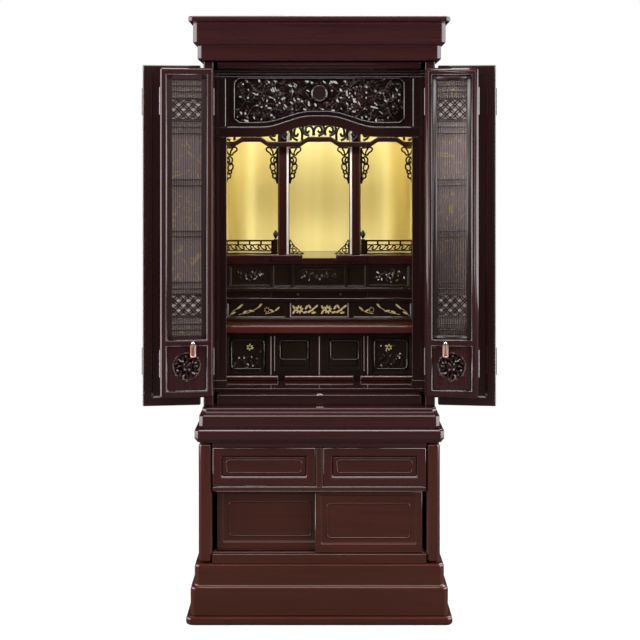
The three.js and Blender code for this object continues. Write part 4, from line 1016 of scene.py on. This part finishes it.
gauze, tree, shader, place = start_finish("gold_vine_gauze")
curls = grow(tree, "TexNoise", {"Vector": place, "Scale": 22, "Detail": 1, "Distortion": 1.2})
layers = grow(tree, "Math", {0: curls.outputs["Fac"], 1: 5}, operation="MULTIPLY")
saw = grow(tree, "Math", {0: layers.outputs["Value"], 1: 0.5}, operation="PINGPONG")
colour = tones(tree, saw.outputs["Value"], (0, (0.66, 0.48, 0.20)), (0.08, (0.32, 0.24, 0.235)))
weave = grow(tree, "TexWave", {"Vector": place, "Scale": 450}, bands_direction="Z")
threads = grow(tree, "Bump", {"Height": weave.outputs["Fac"], "Strength": 0.3, "Distance": 0.0002})
height = grow(tree, "SeparateXYZ", {"Vector": place}).outputs["Z"]
for top_row, bottom_row in block_rows:
    middle = (height_of(top_row) + height_of(bottom_row)) / 2
    reach = (height_of(top_row) - height_of(bottom_row)) / 2
    inside = grow(tree, "Math", {0: height, 1: middle * mm, 2: reach * mm}, operation="COMPARE")
    pale = grow(tree, "Mix", {
        "Factor": inside.outputs["Value"], "A": colour, "B": (0.52, 0.45, 0.42, 1)}, data_type="RGBA")
    colour = pale.outputs["Result"]
plug(tree, shader, {"Base Color": colour, "Normal": threads.outputs["Normal"], "Roughness": 0.7})

# Pull on each end leaf: a small nickel knob through the middle rail and a copper tag hung on it.
knob = turned_ball(
    (74.75, -3.4, 641), 3.3, (1.3, 1, 1.3), (24, 14),
    (lambda vertex: vertex.co.y > -0.0026, (0.6, 1, 0.6)))
tag = cut_block((67.9, 81.6), (-3.9, -2.6), (609.4, 640.8))
pick(tag, "edges", lambda edge: True)
bpy.ops.mesh.bevel(offset=4.5 * mm, segments=5)
pick(tag, "polygons", looks_forward)
bpy.ops.mesh.inset(thickness=1.5 * mm, depth=0)
bpy.ops.mesh.inset(thickness=0.4 * mm, depth=-0.5 * mm)
bpy.ops.object.mode_set(mode="OBJECT")
round_edges(tag, 0.25, 30, 2)


def metal(name, colour, roughness):
    finish, tree, shader, place = start_finish(name)
    rub = grow(tree, "TexNoise", {"Vector": place, "Scale": 300, "Detail": 3}).outputs["Fac"]
    tone = tones(tree, rub, (0, [part * 0.8 for part in colour]),
                 (1, [min(1, part * 1.15) for part in colour]))
    dull = grow(tree, "MapRange", {"Value": rub, "To Min": roughness * 0.7, "To Max": roughness * 1.3})
    plug(tree, shader, {"Base Color": tone, "Roughness": dull.outputs["Result"], "Metallic": 1})
    return finish


nickel = metal("knob_nickel", (0.66, 0.64, 0.64), 0.25)
rose_copper = metal("pull_copper", (0.62, 0.40, 0.32), 0.35)
bronze = metal("hinge_bronze", (0.06, 0.045, 0.04), 0.4)
frame_lacquer = lacquer("door_frame_lacquer", (0.025, 0.0078, 0.0082))
hinge_grey = metal("hinge_grey", (0.20, 0.185, 0.19), 0.38)
lattice_lacquer = lacquer("lattice_lacquer", (0.018, 0.0065, 0.0065), "Z", 0.3)
post_axis = (245.5, -207)
open_turn = math.radians(173)
fold_axis = (123.25, 22.25)
first_shift = Matrix.Translation((0.002, 0.006, 0))
end_shift = Matrix.Translation((0.00025, -0.01625, 0))


for side, s in sides:
    turn = Matrix.Rotation(s * open_turn, 4, "Z")
    hinge = Matrix.Translation(Vector((s * post_axis[0], post_axis[1], 0)) * mm) @ turn
    mirrored = Matrix.Diagonal((-s, 1, 1, 1))
    fold = Matrix.Translation(Vector((-s * fold_axis[0], fold_axis[1], 0)) * mm)
    first_leaf = hinge @ mirrored @ first_shift
    end_leaf = hinge @ fold @ Matrix.Rotation(math.pi, 4, "Z") @ mirrored @ end_shift
    for name, where in (("lattice_door", first_leaf), ("lattice_end_door", end_leaf)):
        body = name.replace("_door", "") + f"_{side}"
        for form, part, finish in (
                (door_leaf, "work", frame_lacquer), (door_lattice, "bars", lattice_lacquer),
                (edge_beads, "beads", bead_lacquer)):
            finish_piece(stand_in(form, where), f"{name}_{part}_{side}", finish, body,
                         f"{name}_{side}")
        cloth = stand_in(gauze_sheet, where)
        finish_piece(cloth, f"{name}_gauze_{side}", gauze, body)
    body = f"lattice_end_{side}"
    finish_piece(stand_in(tag, end_leaf), f"pull_tag_{side}", rose_copper, body, f"pull_{side}")
    finish_piece(stand_in(knob, end_leaf), f"pull_knob_{side}", nickel, body, f"pull_{side}")
for form in (door_leaf, door_lattice, edge_beads, gauze_sheet, tag, knob):
    bpy.data.objects.remove(form)


# Hinges: barrels of five knuckles on a pin, two to each fold and to each post. Those of the lattice
# doors are grey steel and those of the outer doors bronze.
knuckles = []
for number in range(5):
    bpy.ops.mesh.primitive_cylinder_add(
        vertices=20, radius=1, depth=12.2 * mm, location=(0, 0, (number - 2) * 12.6 * mm))
    knuckles.append(bpy.context.object)
barrel = join_pieces(*knuckles)
bpy.ops.object.transform_apply()
barrels = []
for side, s in sides:
    for z in (1196, 593):
        barrels += [
            (f"lattice_hinge_{side}_{z}", (s * post_axis[0], post_axis[1], z), 1.9, hinge_grey, "cabinet"),
            (f"lattice_fold_{side}_{z}", (s * 365.12, -244.1, z), 1.9, hinge_grey, f"lattice_{side}"),
            (f"outer_hinge_{side}_{z}", (s * 272, -210, z), 2.3, bronze, "cabinet"),
            (f"outer_fold_{side}_{z}", (s * 410.85, -205.39, z), 1.8, bronze, f"outer_{side}")]
for name, at, radius, finish, body in barrels:
    pin = stand_in(barrel, Matrix.Translation(Vector(at) * mm)
                   @ Matrix.Diagonal((radius * mm, radius * mm, 1, 1)))
    round_edges(pin, 0.35, 40, 2)
    finish_piece(pin, name, finish, body)
bpy.data.objects.remove(barrel)


# Catches that hold the shut doors: a small plate with a flat ball, let into the sill for the lattice
# doors and into the ledge for the outer ones.
for name, at, finish, slot in (
        ("lattice_catch", (1.5, -196, 514.5), nickel, "hinge_steel"),
        ("outer_catch", (1.5, -223, 490.2), rose_copper, "copper")):
    plate = cut_block((at[0] - 8, at[0] + 8), (at[1] - 4, at[1] + 4), (at[2] - 0.3, at[2] + 0.5))
    bpy.ops.mesh.primitive_uv_sphere_add(
        segments=20, ring_count=12, radius=2.6 * mm, location=Vector(at) * mm)
    ball = bpy.context.object
    ball.scale = (1, 1, 0.45)
    bpy.ops.object.transform_apply()
    round_edges(plate, 0.3)
    finish_piece(join_pieces(plate, ball), name, finish)


# Knobs of the small drawer under the dado, turned in bronze.
for side, s in sides:
    small_knob = turned_ball(
        (s * 53, -8.5, 727), 3.4, (1, 1, 1), (20, 12),
        (lambda vertex: vertex.co.y > -0.0075, (0.55, 1, 0.55)))
    finish_piece(small_knob, f"small_drawer_knob_{side}", bronze, "small_drawer")

for form in (leaf, petal):
    bpy.data.objects.remove(form)
